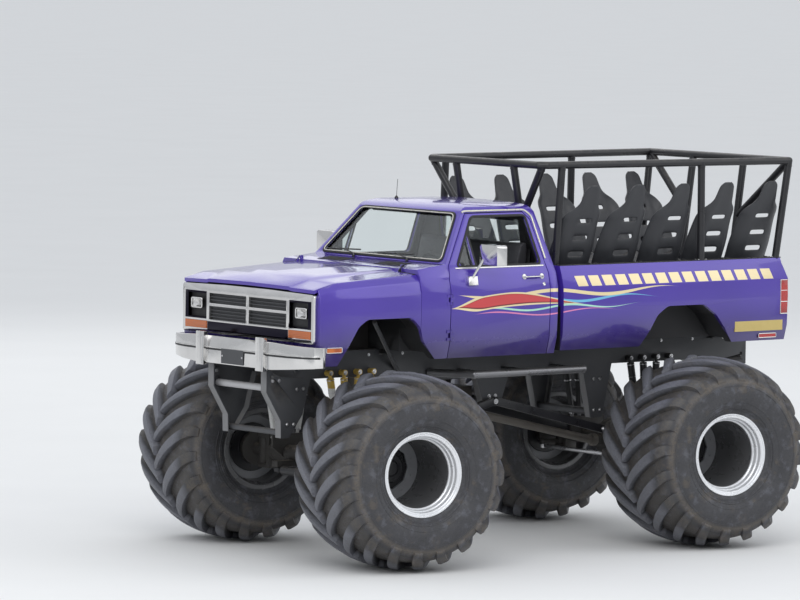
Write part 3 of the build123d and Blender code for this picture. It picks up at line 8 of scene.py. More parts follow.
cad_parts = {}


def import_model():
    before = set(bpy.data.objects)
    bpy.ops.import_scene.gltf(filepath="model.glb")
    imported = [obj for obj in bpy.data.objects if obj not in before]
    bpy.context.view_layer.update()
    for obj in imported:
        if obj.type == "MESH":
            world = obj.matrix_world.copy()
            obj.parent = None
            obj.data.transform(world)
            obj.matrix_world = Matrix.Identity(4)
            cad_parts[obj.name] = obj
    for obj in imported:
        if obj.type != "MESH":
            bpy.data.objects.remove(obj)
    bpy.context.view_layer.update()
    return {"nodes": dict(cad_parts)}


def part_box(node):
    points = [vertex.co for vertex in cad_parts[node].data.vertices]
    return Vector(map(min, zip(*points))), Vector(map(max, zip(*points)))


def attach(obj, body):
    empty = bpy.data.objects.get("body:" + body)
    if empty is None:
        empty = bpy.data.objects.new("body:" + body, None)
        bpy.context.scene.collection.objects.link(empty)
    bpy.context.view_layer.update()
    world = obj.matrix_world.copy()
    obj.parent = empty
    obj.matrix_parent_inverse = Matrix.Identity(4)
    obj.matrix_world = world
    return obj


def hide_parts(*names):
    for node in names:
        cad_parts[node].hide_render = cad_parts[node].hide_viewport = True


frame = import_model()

nodes = frame["nodes"]
SIDES = (("left", 1), ("right", -1))
UP = Vector((0, 0, 1))
AHEAD = Vector((1, 0, 0))
OUT = Vector((0, 1, 0))


# Materials

class Net:
    """A material's node tree, with short calls for the nodes that are used here."""

    def __init__(self, name, **inputs):
        self.material = bpy.data.materials.new(name)
        self.material.use_nodes = True
        self.tree = self.material.node_tree
        self.shader = self.tree.nodes["Principled BSDF"]
        self.place = self.add("ShaderNodeTexCoord")
        self.position = self.place.outputs["Object"]
        for key, value in inputs.items():
            self.shader.inputs[key.replace("_", " ")].default_value = value

    def add(self, kind, **values):
        node = self.tree.nodes.new(kind)
        for key, value in values.items():
            setattr(node, key, value)
        return node

    def link(self, source, target):
        if isinstance(source, (int, float)):
            target.default_value = source
        elif isinstance(source, tuple):
            target.default_value = (*source, 1)
        else:
            self.tree.links.new(source, target)

    def math(self, operation, a, b=0.0):
        node = self.add("ShaderNodeMath", operation=operation)
        self.link(a, node.inputs[0])
        self.link(b, node.inputs[1])
        return node.outputs[0]

    plus = partialmethod(math, "ADD")
    minus = partialmethod(math, "SUBTRACT")
    times = partialmethod(math, "MULTIPLY")
    less = partialmethod(math, "LESS_THAN")
    more = partialmethod(math, "GREATER_THAN")
    size = partialmethod(math, "ABSOLUTE")
    either = partialmethod(math, "MAXIMUM")

    def lean(self, matrix):
        """Measures places from here on in the frame of a matrix."""
        mapping = self.add("ShaderNodeMapping", vector_type="TEXTURE")
        mapping.inputs["Location"].default_value = matrix.translation
        mapping.inputs["Rotation"].default_value = matrix.to_euler("XYZ")
        self.link(self.position, mapping.inputs["Vector"])
        self.position = mapping.outputs[0]

    def axes(self, vector=None):
        node = self.add("ShaderNodeSeparateXYZ")
        self.link(vector or self.position, node.inputs[0])
        return node.outputs

    def facing(self):
        """The surface's normal in the piece's own frame, as three values."""
        return self.axes(self.place.outputs["Normal"])

    def noise(self, scale, detail=4.0, rough=0.55):
        node = self.add("ShaderNodeTexNoise")
        node.inputs["Scale"].default_value = scale
        node.inputs["Detail"].default_value = detail
        node.inputs["Roughness"].default_value = rough
        self.link(self.position, node.inputs["Vector"])
        return node.outputs[0]

    def step(self, value, low, high, out_low=0.0, out_high=1.0, kind="SMOOTHSTEP"):
        node = self.add("ShaderNodeMapRange", interpolation_type=kind)
        self.link(value, node.inputs["Value"])
        for key, number in (("From Min", low), ("From Max", high), ("To Min", out_low), ("To Max", out_high)):
            node.inputs[key].default_value = number
        return node.outputs[0]

    def mix(self, factor, a, b):
        node = self.add("ShaderNodeMix", data_type="RGBA")
        self.link(factor, node.inputs[0])
        self.link(a, node.inputs[6])
        self.link(b, node.inputs[7])
        return node.outputs[2]

    def colour(self, source):
        self.link(source, self.shader.inputs["Base Color"])

    def rough(self, source):
        self.link(source, self.shader.inputs["Roughness"])

    def bump(self, height, strength=0.3, distance=0.002):
        node = self.add("ShaderNodeBump")
        node.inputs["Strength"].default_value = strength
        node.inputs["Distance"].default_value = distance
        self.link(height, node.inputs["Height"])
        self.link(node.outputs[0], self.shader.inputs["Normal"])


CREAM = (0.84, 0.70, 0.40)
SKY = (0.16, 0.50, 0.76)
MINT = (0.42, 0.76, 0.60)
PINK = (0.74, 0.22, 0.44)
RED = (0.60, 0.045, 0.05)
DARK_RED = (0.16, 0.01, 0.02)
DUST = (0.27, 0.235, 0.19)
VIOLET_DEEP = (0.054, 0.026, 0.31)
VIOLET_LIGHT = (0.074, 0.036, 0.39)
VIOLET_PAINTED_SHADE = (0.026, 0.014, 0.14)
TRIM_DARK = (0.016, 0.016, 0.018)

# Waves painted along the flanks: colour, height, amplitude, waves a metre, phase, half width, from x, to x
WAVES = (
    (SKY, 2.205, 0.022, 0.95, 0.4, 0.012, 1.02, -1.35),
    (CREAM, 2.262, 0.026, 0.80, 1.6, 0.016, 1.10, -1.55),
    (MINT, 2.140, 0.018, 1.10, 2.9, 0.009, 0.98, -1.15),
    (PINK, 2.098, 0.020, 0.90, 4.1, 0.007, 0.95, -0.95),
    (CREAM, 2.190, 0.034, 0.55, 0.2, 0.062, 1.16, -0.42),
    (DARK_RED, 2.190, 0.034, 0.55, 0.2, 0.050, 1.10, -0.36),
    (RED, 2.194, 0.034, 0.55, 0.2, 0.043, 1.08, -0.34),
)
# Slanted blocks along the bed: height of their middle, half height, pitch, from x, to x
BLOCKS = (2.356, 0.046, 0.155, -1.085, -3.410)

# Where painted shade darkens the paint, and where it is dusty: from this height down to that one
LOW_PAINTED_SHADE = (2.22, 1.74)
DUSTY = (2.05, 1.70)

# Bounds of the inner faces, which are dark: the cab's skin and roof, the back wall's slope, the wheel arches,
# the fenders, the hood's arms and the bed from its rear to its front
SKIN = 0.030
CEILING_Z = 2.997
BACK_WALL_X = (-0.028, 0.018)
ARCH_TOP_Z = 2.14
ARCH_Y = 0.966
FENDER_INNER_Y = 0.922
VALANCE_X = 2.500
HOOD_ARM_Y = 0.72
HOOD_REAR_X = 1.497
BED_INNER_Y = 0.878
BED_ENDS_X = (-2.700, -0.166)

BELT_Z = 2.530
ROOF_EDGE_Z = 2.985
BELT_Y = 0.922
ROOF_EDGE_Y = 0.703
SCREEN_FOOT = Vector((1.118, 0, 2.553))
SCREEN_HEAD = Vector((0.806, 0, 2.963))
SCREEN_SLOPE = (SCREEN_HEAD - SCREEN_FOOT).normalized()
SCREEN_NORMAL = Vector((SCREEN_SLOPE.z, 0, -SCREEN_SLOPE.x))


def skin_y(net, z):
    """Half width of the cab's outer skin at a height."""
    low = net.step(z, 2.44, BELT_Z, 0.985, BELT_Y, "LINEAR")
    return net.minus(low, net.step(z, BELT_Z, ROOF_EDGE_Z, 0, BELT_Y - ROOF_EDGE_Y, "LINEAR"))


def cab_inside(net, x, y, z):
    """1 on the cab's inner faces and underside, and on the wheel arch's face."""
    within = net.less(net.size(y), net.minus(skin_y(net, z), SKIN))
    below = net.less(z, CEILING_Z)
    slope = net.plus(net.times(x, SCREEN_NORMAL.x), net.times(z, SCREEN_NORMAL.z))
    behind = net.less(slope, SCREEN_NORMAL.dot(SCREEN_FOOT) - 0.020)
    ahead = net.more(net.minus(x, net.step(z, BELT_Z, 2.96, *BACK_WALL_X, "LINEAR")), 0)
    room = net.times(net.times(within, below), net.times(behind, ahead))
    return net.either(room, arch_face(net, x, y, z))


def arch_face(net, x, y, z):
    """1 on the faces inside the wheel arches."""
    across = net.less(net.size(net.facing()[1]), 0.5)
    low = net.less(z, ARCH_TOP_Z)
    return net.times(net.times(across, low), net.less(net.size(y), ARCH_Y))


def door_inside(net, x, y, z):
    """1 on a door's inner face."""
    inward = net.less(net.times(net.facing()[1], y), -0.2)
    return net.either(inward, net.less(net.size(y), net.minus(skin_y(net, z), SKIN)))


def fender_inside(net, x, y, z):
    """1 on the fenders' inner faces, apart from the valance under the grille."""
    inner = net.either(net.less(net.size(y), FENDER_INNER_Y), arch_face(net, x, y, z))
    return net.times(inner, net.less(x, VALANCE_X))


def hood_inside(net, x, y, z):
    """1 on the hood's underside and its hinge arms."""
    arms = net.times(net.more(net.size(y), HOOD_ARM_Y), net.less(x, HOOD_REAR_X))
    return net.either(net.less(net.facing()[2], -0.3), arms)


def bed_inside(net, x, y, z):
    """1 on the bed's floor, decks and inner walls."""
    inner = net.times(net.less(net.size(y), BED_INNER_Y), net.more(x, BED_ENDS_X[0]))
    front = net.times(net.more(x, BED_ENDS_X[1]), net.more(net.facing()[2], -0.5))
    return net.either(net.times(inner, net.less(front, 0.5)), arch_face(net, x, y, z))


def flank_art(net, base, x, y, z):
    """The painted bands, drawn over a colour on the truck's flanks."""
    flank = net.times(net.more(net.size(y), 0.90), net.more(net.times(net.facing()[1], y), 0.45))
    for colour, height, amplitude, waves, phase, half, x_from, x_to in WAVES:
        wave = net.math("SINE", net.plus(net.times(x, waves * 2 * math.pi), phase))
        offset = net.minus(z, net.plus(net.times(wave, amplitude), height))
        taper = net.times(net.step(x, x_to, x_to + 0.9), net.step(x, x_from - 0.35, x_from, 1, 0))
        inside = net.minus(net.times(taper, half), net.size(offset))
        base = net.mix(net.times(net.step(inside, 0.0, 0.002), flank), base, colour)
    height, half, pitch, x_from, x_to = BLOCKS
    slanted = net.plus(x, net.times(z, -0.35))
    cell = net.size(net.minus(net.math("FRACT", net.math("DIVIDE", slanted, pitch)), 0.5))
    row = net.step(net.minus(half, net.size(net.minus(z, height))), 0, 0.002)
    ends = net.times(net.less(slanted, x_from), net.more(slanted, x_to))
    blocks = net.times(net.times(row, net.less(cell, 0.37)), ends)
    return net.mix(net.times(blocks, flank), base, CREAM)


def paint(name, inside=None, art=False):
    """Glossy violet paint, darkened by painted shade and dusty near its lower edge, with bands on the flanks
    and dark inner faces.
    """
    net = Net(name, Coat_Weight=0.85, Coat_Roughness=0.05, Metallic=0.2)
    x, y, z = net.axes()
    base = net.mix(net.noise(1.7, 3), VIOLET_DEEP, VIOLET_LIGHT)
    # Painted shade: the violet darkens towards the lower edge of the body.
    base = net.mix(net.step(z, *LOW_PAINTED_SHADE, 0.0, 0.85), base, VIOLET_PAINTED_SHADE)
    if art:
        base = flank_art(net, base, x, y, z)
    dust = net.times(net.step(z, *DUSTY), net.noise(9, 6, 0.65))
    base = net.mix(net.times(dust, 0.20), base, DUST)
    gloss = net.step(dust, 0.1, 0.7, 0.24, 0.55)
    if inside:
        inner = inside(net, x, y, z)
        base = net.mix(inner, base, TRIM_DARK)
        gloss = net.either(gloss, net.times(inner, 0.6))
        net.link(net.step(inner, 0.2, 0.8, 0.85, 0.0), net.shader.inputs["Coat Weight"])
    net.colour(base)
    net.rough(gloss)
    net.bump(net.noise(900, 2), 0.04, 0.0005)
    return net.material


def chrome():
    """Bright plating with faint smudges and a slightly wavy surface."""
    net = Net("chrome", Metallic=1.0)
    smudge = net.noise(7, 5)
    net.colour(net.mix(smudge, (0.78, 0.77, 0.76), (0.62, 0.61, 0.60)))
    net.rough(net.step(smudge, 0.35, 0.75, 0.07, 0.20))
    net.bump(net.noise(3.2, 2), 0.12, 0.006)
    return net.material


def plain(name, dark, light, rough=(0.4, 0.6), scale=14, grain=160, depth=0.15, dust=0.0, part=None,
          matrix=None, **inputs):
    """Mottled surface with fine grain, dust where it faces up, and a second colour on a part of it."""
    net = Net(name, **inputs)
    if matrix:
        net.lean(matrix)
    cloud = net.noise(scale, 5, 0.6)
    base = net.mix(cloud, dark, light)
    if part:
        mask, second = part
        base = net.mix(mask(net), base, net.mix(cloud, tuple(0.8 * c for c in second), second))
    if dust:
        settled = net.times(net.step(net.facing()[2], 0.2, 0.95), net.step(net.noise(22, 6, 0.7), 0.30, 0.75))
        base = net.mix(net.times(settled, dust), base, DUST)
    net.colour(base)
    net.rough(net.step(cloud, 0.3, 0.7, *rough))
    net.bump(net.noise(grain, 4, 0.6), depth, 0.0015)
    return net.material


def flange_edges(net):
    """1 on the narrow edges of the frame's plates and their flanges."""
    return net.less(net.size(net.facing()[1]), 0.4)


def front_bars(net):
    """1 on the two bright tubes between the front legs."""
    x, _, z = net.axes()
    return net.times(net.more(x, 2.50), net.less(z, 1.55))


def shock_tops(net):
    """1 on the upper ends of the shock absorbers."""
    return net.more(net.axes()[2], 1.475)


def rod_part(net):
    """1 on the shock absorbers' thin rods and lower ends."""
    return net.less(net.axes()[2], 1.030)


def rim_barrel_paint_and_shade(net):
    """1 inside the rim's barrel, behind its lip, which is coloured darker: partly its dark paint, partly
    painted shade.
    """
    return net.step(net.axes()[2], 0.352, 0.338)


def grille_band(net):
    """1 on the dark band under the grille and round the headlamps."""
    _, y, z = net.axes()
    across = net.size(y)
    band = net.times(net.less(across, 0.575), net.times(net.less(z, 2.006), net.more(z, 1.926)))
    recess = net.times(net.times(net.more(across, 0.588), net.less(across, 0.896)),
                       net.times(net.more(z, 2.024), net.less(z, 2.262)))
    return net.either(band, recess)


def tyre_rubber(place, matrix):
    """Scuffed rubber: painted bluish sheen in patches and on the pale lug tops, tan dust between the lugs and
    at the shoulder, smears on the side.
    """
    net = Net(f"tyre_rubber_{place}")
    net.lean(matrix)
    x, y, z = net.axes()
    radius = net.math("SQRT", net.plus(net.times(x, x), net.times(y, y)))
    cloud = net.noise(5, 7, 0.65)
    fine = net.noise(60, 6, 0.7)
    patches = net.noise(7, 7, 0.7)
    base = net.mix(cloud, (0.022, 0.022, 0.025), (0.062, 0.062, 0.068))
    # Painted sheen: bluish-grey patches that stand for a reflection on the rubber.
    sheen = net.step(net.noise(11, 6, 0.65), 0.50, 0.68)
    base = net.mix(net.times(sheen, 0.45), base, (0.125, 0.130, 0.155))
    # Painted sheen: the lug tops are made paler and bluish.
    lug_top_sheen = net.times(net.step(radius, 0.772, 0.815), net.step(fine, 0.25, 0.65, 0.45, 1.0))
    base = net.mix(net.times(lug_top_sheen, 0.80), base, (0.185, 0.190, 0.218))
    groove = net.times(net.step(radius, 0.690, 0.735), net.step(radius, 0.785, 0.765))
    base = net.mix(net.times(groove, net.step(fine, 0.34, 0.66, 0.05, 0.42)), base, (0.150, 0.128, 0.100))
    ring = net.times(net.step(radius, 0.610, 0.652), net.step(radius, 0.700, 0.656))
    base = net.mix(net.times(ring, net.step(fine, 0.3, 0.7, 0.10, 0.55)), base, (0.175, 0.145, 0.112))
    mud = net.times(net.step(patches, 0.54, 0.66), net.step(net.size(z), 0.30, 0.46, 0.45, 1.0))
    base = net.mix(net.times(mud, 0.32), base, (0.180, 0.150, 0.115))
    net.colour(base)
    net.rough(net.step(net.plus(fine, net.times(mud, 0.3)), 0.35, 0.75, 0.42, 0.82))
    net.bump(fine, 0.5, 0.004)
    return net.material


def clear(name, tint, rough=0.02):
    """Clear glass with a faint tint."""
    net = Net(name, Roughness=rough, IOR=1.45, Transmission_Weight=1.0)
    net.colour(net.mix(net.noise(3, 3), tint, tuple(min(1, c * 1.04) for c in tint)))
    return net.material


def lens(name, dark, light):
    """Coloured lamp lens, moulded in fine upright flutes."""
    net = Net(name, Coat_Weight=0.7, Coat_Roughness=0.05)
    _, y, z = net.axes()
    flute = net.math("SINE", net.times(y, 500))
    net.colour(net.mix(net.step(flute, -1, 1), dark, light))
    net.rough(net.step(net.noise(30, 3), 0.3, 0.7, 0.14, 0.26))
    net.bump(net.plus(flute, net.math("SINE", net.times(z, 420))), 0.5, 0.001)
    return net.material


M = {
    "cab_paint": paint("cab_paint", cab_inside, True),
    "door_paint": paint("door_paint", door_inside, True),
    "fender_paint": paint("fender_paint", fender_inside),
    "hood_paint": paint("hood_paint", hood_inside),
    "bed_paint": paint("bed_paint", bed_inside, True),
    "gate_paint": paint("gate_paint"),
    "chrome": chrome(),
    "frame": plain("frame_grey", (0.040, 0.041, 0.045), (0.066, 0.068, 0.074), (0.45, 0.62), 4, 240, 0.12,
                   0.45, (flange_edges, (0.20, 0.20, 0.205))),
    "cross": plain("cross_tube_grey", (0.050, 0.051, 0.056), (0.080, 0.083, 0.090), (0.4, 0.55), 6, 240,
                   0.1, 0.4, (front_bars, (0.50, 0.50, 0.51))),
    "tubes": plain("side_tube_grey", (0.16, 0.16, 0.17), (0.27, 0.27, 0.28), (0.25, 0.42), 5, 240, 0.08, 0.35,
                   Metallic=0.7),
    "black": plain("black_enamel", (0.010, 0.010, 0.012), (0.020, 0.020, 0.023), (0.26, 0.40), 6, 300, 0.08,
                   0.25),
    "iron": plain("cast_iron", (0.020, 0.019, 0.018), (0.048, 0.044, 0.040), (0.55, 0.80), 10, 120, 0.5, 0.7),
    "steel": plain("bright_steel", (0.48, 0.48, 0.49), (0.64, 0.64, 0.65), (0.22, 0.40), 12, 300, 0.1, 0.3,
                   Metallic=1.0),
    "shaft": plain("shaft_grey", (0.10, 0.09, 0.08), (0.19, 0.175, 0.155), (0.4, 0.6), 18, 200, 0.2, 0.6,
                   Metallic=0.4),
    "shock_front": plain("shock_white", (0.56, 0.56, 0.55), (0.68, 0.68, 0.66), (0.3, 0.45), 8, 300, 0.05,
                         0.3, (shock_tops, (0.56, 0.38, 0.08))),
    "shock_rear": plain("shock_black", (0.012, 0.012, 0.013), (0.022, 0.022, 0.024), (0.28, 0.42), 8, 300,
                        0.05, 0.3, (rod_part, (0.34, 0.34, 0.35))),
    "surround": plain("surround_chrome", (0.62, 0.61, 0.60), (0.78, 0.77, 0.76), (0.10, 0.22), 7, 90, 0.03,
                      0.0, (grille_band, (0.016, 0.014, 0.026)), Metallic=1.0),
    "disc": plain("disc_grey", (0.22, 0.225, 0.24), (0.32, 0.325, 0.34), (0.35, 0.55), 14, 200, 0.15),
    "trim": plain("dark_trim", (0.012, 0.012, 0.013), (0.024, 0.024, 0.026), (0.45, 0.65), 20, 400, 0.2, 0.2),
    "fin": plain("grille_dark", (0.040, 0.041, 0.045), (0.075, 0.077, 0.083), (0.40, 0.55), 20, 400, 0.1),
    "seat": plain("seat_plastic", (0.026, 0.027, 0.031), (0.044, 0.046, 0.052), (0.40, 0.55), 12, 700, 0.25,
                  0.30),
    "cloth": plain("bench_vinyl", (0.030, 0.030, 0.034), (0.052, 0.052, 0.058), (0.50, 0.68), 10, 420, 0.45),
    "glass": clear("window_glass", (0.84, 0.90, 0.89)),
    "lens": clear("lamp_lens", (0.97, 0.98, 0.98), 0.05),
    "amber": lens("amber_lens", (0.40, 0.075, 0.008), (0.60, 0.155, 0.018)),
    "red": lens("red_lens", (0.26, 0.008, 0.009), (0.42, 0.02, 0.018)),
    "rubber": plain("gasket_rubber", (0.010, 0.010, 0.010), (0.020, 0.020, 0.020), (0.5, 0.7), 30, 300, 0.2),
    "drip": plain("pale_trim", (0.56, 0.54, 0.46), (0.70, 0.68, 0.60), (0.2, 0.35), 8, 300, 0.05,
                  Metallic=0.5),
    "chip": plain("gold_chip", (0.50, 0.38, 0.12), (0.60, 0.47, 0.18), (0.3, 0.45), 12, 300, 0.05),
}

NODE_LOOKS = {
    "frame_rail": "frame", "frame_cross_tubes": "cross", "side_tubes": "tubes", "axle_front": "iron",
    "axle_rear": "iron", "axle_links": "black", "shocks_front": "shock_front", "shocks_rear": "shock_rear",
    "driveline": "shaft", "engine": "iron", "cab_shell": "cab_paint", "cab_glass": "glass",
    "dashboard": "trim", "bench_seat": "cloth", "front_fenders": "fender_paint",
    "grille_surround": "surround", "grille": "fin", "headlamps": "lens", "amber_lamps": "amber",
    "front_bumper": "chrome", "bed": "bed_paint", "tail_lamps": "red", "cage": "black", "bed_seats": "seat",
    "hood": "hood_paint", "tailgate": "gate_paint", "tie_rod": "steel", "ram_barrel": "black",
    "ram_rod": "steel", "knuckle": "iron", "tyre": "rubber", "rim": "steel", "door": "door_paint",
    "vent_glass": "glass", "mirror": "chrome",
}
BEVELS = {
    "cab_shell": 0.012, "door": 0.008, "hood": 0.012, "front_fenders": 0.012, "bed": 0.012, "tailgate": 0.008,
    "front_bumper": 0.006, "grille_surround": 0.006, "frame_rail": 0.003, "axle": 0.008, "driveline": 0.008,
    "engine": 0.010, "knuckle": 0.006, "axle_links": 0.005, "dashboard": 0.010, "bed_seats": 0.009,
    "mirror": 0.018, "tail_lamps": 0.004, "grille": 0.0015,
}


def look_for(name, table):
    """The entry for a node's name, or for the longest name that it starts with."""
    keys = [key for key in table if name == key or name.startswith(key + "_")]
    return table[max(keys, key=len)] if keys else None


def shade_smooth(mesh):
    """Shades all of a mesh's faces smooth."""
    for polygon in mesh.polygons:
        polygon.use_smooth = True


def subdivide(obj):
    """Rounds an object's form by one level of subdivision."""
    level = obj.modifiers.new("smooth", "SUBSURF")
    level.levels = 1
    level.render_levels = 1


def smooth_edges(obj, width):
    """Rounds an object's sharp edges in the picture, on top of its mesh."""
    weld = obj.modifiers.new("weld", "WELD")
    weld.merge_threshold = 0.00005
    bevel = obj.modifiers.new("bevel", "BEVEL")
    bevel.width = width
    bevel.segments = 3
    bevel.limit_method = "ANGLE"
    bevel.angle_limit = math.radians(28)
    bevel.harden_normals = True
    shade_smooth(obj.data)


def dress_nodes():
    """Gives every CAD node its material, and rounded edges where its form has them."""
    for name, obj in nodes.items():
        obj.data.materials.clear()
        obj.data.materials.append(M[look_for(name, NODE_LOOKS)])
        width = look_for(name, BEVELS)
        if width:
            smooth_edges(obj, width)


# Mesh building

def piece(name, shape, material, body="chassis", matrix=None, crease=38, bevel=0.0):
    """Mesh object that rides on a body; creases stay sharp above an angle."""
    verts, faces = moved(shape, matrix) if matrix else shape
    mesh = bpy.data.meshes.new(name)
    mesh.from_pydata([tuple(v) for v in verts], [], faces)
    mesh.validate()
    mesh.update()
    obj = bpy.data.objects.new(name, mesh)
    bpy.context.scene.collection.objects.link(obj)
    mesh.materials.append(M[material])
    shade_smooth(mesh)
    mesh.set_sharp_from_angle(angle=math.radians(crease))
    if bevel:
        smooth_edges(obj, bevel)
    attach(obj, body)
    return obj


def join(shapes):
    """Several shapes as one."""
    verts, faces = [], []
    for shape_verts, shape_faces in shapes:
        start = len(verts)
        verts += shape_verts
        faces += [tuple(start + i for i in face) for face in shape_faces]
    return verts, faces


def moved(shape, matrix):
    """A shape under a matrix."""
    verts, faces = shape
    return [matrix @ Vector(v) for v in verts], faces


def flipped(shape):
    """A shape mirrored to the truck's other side."""
    verts, faces = shape
    return [(v[0], -v[1], v[2]) for v in verts], [tuple(reversed(face)) for face in faces]


def both(shape):
    """A shape and its mirror image on the truck's other side."""
    return join([shape, flipped(shape)])


def box(low, high):
    """Box between two corners; its edges are rounded by the piece's bevel."""
    verts = [(x, y, z) for x in (low[0], high[0]) for y in (low[1], high[1]) for z in (low[2], high[2])]
    return verts, [(0, 1, 3, 2), (4, 6, 7, 5), (0, 4, 5, 1), (2, 3, 7, 6), (0, 2, 6, 4), (1, 5, 7, 3)]


def prism(outline, y_low, y_high):
    """Side outline in X and Z between two Y values."""
    count = len(outline)
    verts = [(x, y_low, z) for x, z in outline] + [(x, y_high, z) for x, z in outline]
    faces = [(i, (i + 1) % count, count + (i + 1) % count, count + i) for i in range(count)]
    return verts, faces + [tuple(reversed(range(count))), tuple(range(count, 2 * count))]


def revolve(profile, count):
    """Turns (axial, radius) points round local Z."""
    rows = len(profile)
    verts, faces = [], []
    for step in range(count):
        angle = 2 * math.pi * step / count
        verts += [(r * math.cos(angle), r * math.sin(angle), a) for a, r in profile]
        here, there = step * rows, ((step + 1) % count) * rows
        faces += [(here + row, there + row, there + row + 1, here + row + 1) for row in range(rows - 1)]
    return verts, faces


def rounded(points, radius, steps=4, closed=False):
    """Path with its corners rounded, in two or three dimensions."""
    places = [Vector(p) for p in points]
    if closed:
        places = [places[-1]] + places + [places[0]]
    out = [] if closed else [places[0]]
    for before, corner, after in zip(places, places[1:], places[2:]):
        start = corner + (before - corner).normalized() * min(radius, (before - corner).length * 0.45)
        end = corner + (after - corner).normalized() * min(radius, (after - corner).length * 0.45)
        for k in range(steps + 1):
            t = k / steps
            out.append(start.lerp(corner, t).lerp(corner.lerp(end, t), t))
    return out if closed else out + [places[-1]]


def sweep(path, section, up, closed=False):
    """Carries a closed section of (side, up) points along a path; up is a vector or one for each point."""
    count, rows = len(path), len(section)
    verts, faces = [], []
    for index, place in enumerate(path):
        before = path[index - 1] if closed or index else place
        after = path[(index + 1) % count] if closed or index < count - 1 else place
        along = (after - before).normalized()
        raised = up[index] if isinstance(up, list) else up
        side = along.cross(raised).normalized()
        top = side.cross(along)
        verts += [place + side * s + top * u for s, u in section]
    for index in range(count if closed else count - 1):
        here, there = index * rows, ((index + 1) % count) * rows
        faces += [(here + k, here + (k + 1) % rows, there + (k + 1) % rows, there + k) for k in range(rows)]
    if not closed:
        faces += [tuple(reversed(range(rows))), tuple(range((count - 1) * rows, count * rows))]
    return verts, faces


def ring(radius, count=12, flat=1.0):
    """Round or flattened section for a sweep."""
    turns = [2 * math.pi * k / count for k in range(count)]
    return [(radius * math.cos(t), radius * flat * math.sin(t)) for t in turns]


FLANKS = {}


def flank(node, x, z, proud=0.0):
    """Point on a CAD node's left flank at an X and a Z."""
    if node not in FLANKS:
        mesh = nodes[node].data
        FLANKS[node] = BVHTree.FromPolygons([v.co for v in mesh.vertices],
                                            [p.vertices for p in mesh.polygons])
    hit = FLANKS[node].ray_cast(Vector((x, 3.0, z)), Vector((0, -1, 0)))[0]
    return Vector((x, hit.y + proud, z))


def strip(width, height):
    """Low domed strip section, lying on its path."""
    half = width / 2
    return [(-half, 0), (half, 0), (half, height * 0.5), (half * 0.6, height), (-half * 0.6, height),
            (-half, height * 0.5)]


def aimed(place, normal):
    """Matrix at a place, with local Z along a direction."""
    normal = Vector(normal).normalized()
    return Matrix.Translation(Vector(place)) @ normal.to_track_quat("Z", "Y").to_matrix().to_4x4()


def turned(profile, count, place, normal):
    """Revolved (axial, radius) profile that stands at a place, along a direction."""
    return moved(revolve(profile, count), aimed(place, normal))


def box_corners(y_range, z_range):
    """Corners in Y and Z of the rectangle between two ranges, in turn."""
    (y_low, y_high), (z_low, z_high) = y_range, z_range
    return (y_low, z_low), (y_high, z_low), (y_high, z_high), (y_low, z_high)


def rectangle(x, y_range, z_range, radius, steps=4):
    """Rounded rectangle facing along X, as a closed path."""
    return rounded([Vector((x, y, z)) for y, z in box_corners(y_range, z_range)], radius, steps, True)


def bolt(place, normal, size=0.010):
    """Hexagon bolt head on its washer."""
    head = [(0.0, size), (size * 0.75, size), (size * 0.95, size * 0.8), (size * 0.95, 0.0)]
    washer = [(-size * 0.1, size * 1.5), (size * 0.22, size * 1.5), (size * 0.22, 0.0)]
    return moved(join([revolve(head, 6), revolve(washer, 16)]), aimed(place, normal))


def bolts(name, spots, material, body="chassis"):
    """Bolt heads at (place, normal, size) spots as one piece."""
    return piece(name, join([bolt(*spot) for spot in spots]), material, body)


def mirrored_spots(spots):
    """Bolt spots with their mirror images."""
    return spots + [((p[0], -p[1], p[2]), (n[0], -n[1], n[2]), s) for p, n, s in spots]


# Wheels

HUB_Z = 0.838
WHEEL_OFFSET = 0.532
KINGPIN_Y = 0.750
AXLES = (("front", 1.782, -11.6), ("rear", -1.603, -8.5))
LUGS = 20
LUG_STEPS = 18
LUG_SWEEP = math.radians(26)
LUG_BEND_END = 0.50
LUG_DEPTH = 0.085
LUG_LOWEST = 0.61
LUG_HALF_WIDTH = 0.036
LUG_FOOT = 0.018
LUG_CHAMFER = 0.006
LUG_SINK = 0.012
TREAD_RADIUS = 0.80
CROWN_HALF_ANGLE = math.radians(2.1)
AROUND = 144
WIDEST = 0.5455

# Casing from the bead to the crown, and the height of a lug's top at each place: (axial, radius)
CASING = [(0.444, 0.330), (0.452, 0.372), (0.500, 0.420), (0.534, 0.500), (0.538, 0.570), (0.527, 0.630),
          (0.517, 0.655), (0.497, 0.682), (0.450, 0.722), (0.370, 0.748), (0.200, 0.764), (0.0, 0.768)]
LUG_LINE = [(0.0, 0.838), (0.14, 0.836), (0.26, 0.826), (0.36, 0.8055), (0.43, 0.783), (0.48, 0.749),
            (0.510, 0.705), (0.521, 0.668)]
RIM_LINE = [(0.457, 0.361), (0.457, 0.350), (0.450, 0.345), (0.449, 0.331), (0.442, 0.3225), (0.410, 0.319),
            (0.402, 0.307), (0.366, 0.303), (0.358, 0.291), (0.05, 0.288), (-0.205, 0.288), (-0.220, 0.284)]
RIM_BACK = [(-0.242, 0.284), (-0.352, 0.288), (-0.385, 0.314), (-0.457, 0.316), (-0.457, 0.361),
            (-0.445, 0.361), (-0.445, 0.326)]
SIDE_BANDS = (0.398, 0.424, 0.470, 0.618)
RIM_EDGE = [(0.457, 0.361), (0.445, 0.361), (0.445, 0.327), (0.38, 0.326)]
HUB_LINE = [(-0.330, 0.062), (-0.330, 0.130), (-0.262, 0.130), (-0.262, 0.214), (-0.243, 0.214),
            (-0.243, 0.130), (-0.176, 0.130), (-0.158, 0.118), (-0.158, 0.070), (-0.150, 0.064),
            (-0.150, 0.0)]
DISC_FACE = -0.220
DISC_SIDES = 10
DISC_EDGE = 0.289
DISC_THICKNESS = 0.022
HOLE_CORNER = 0.188 * 1.03
NUT_CIRCLE = 0.238


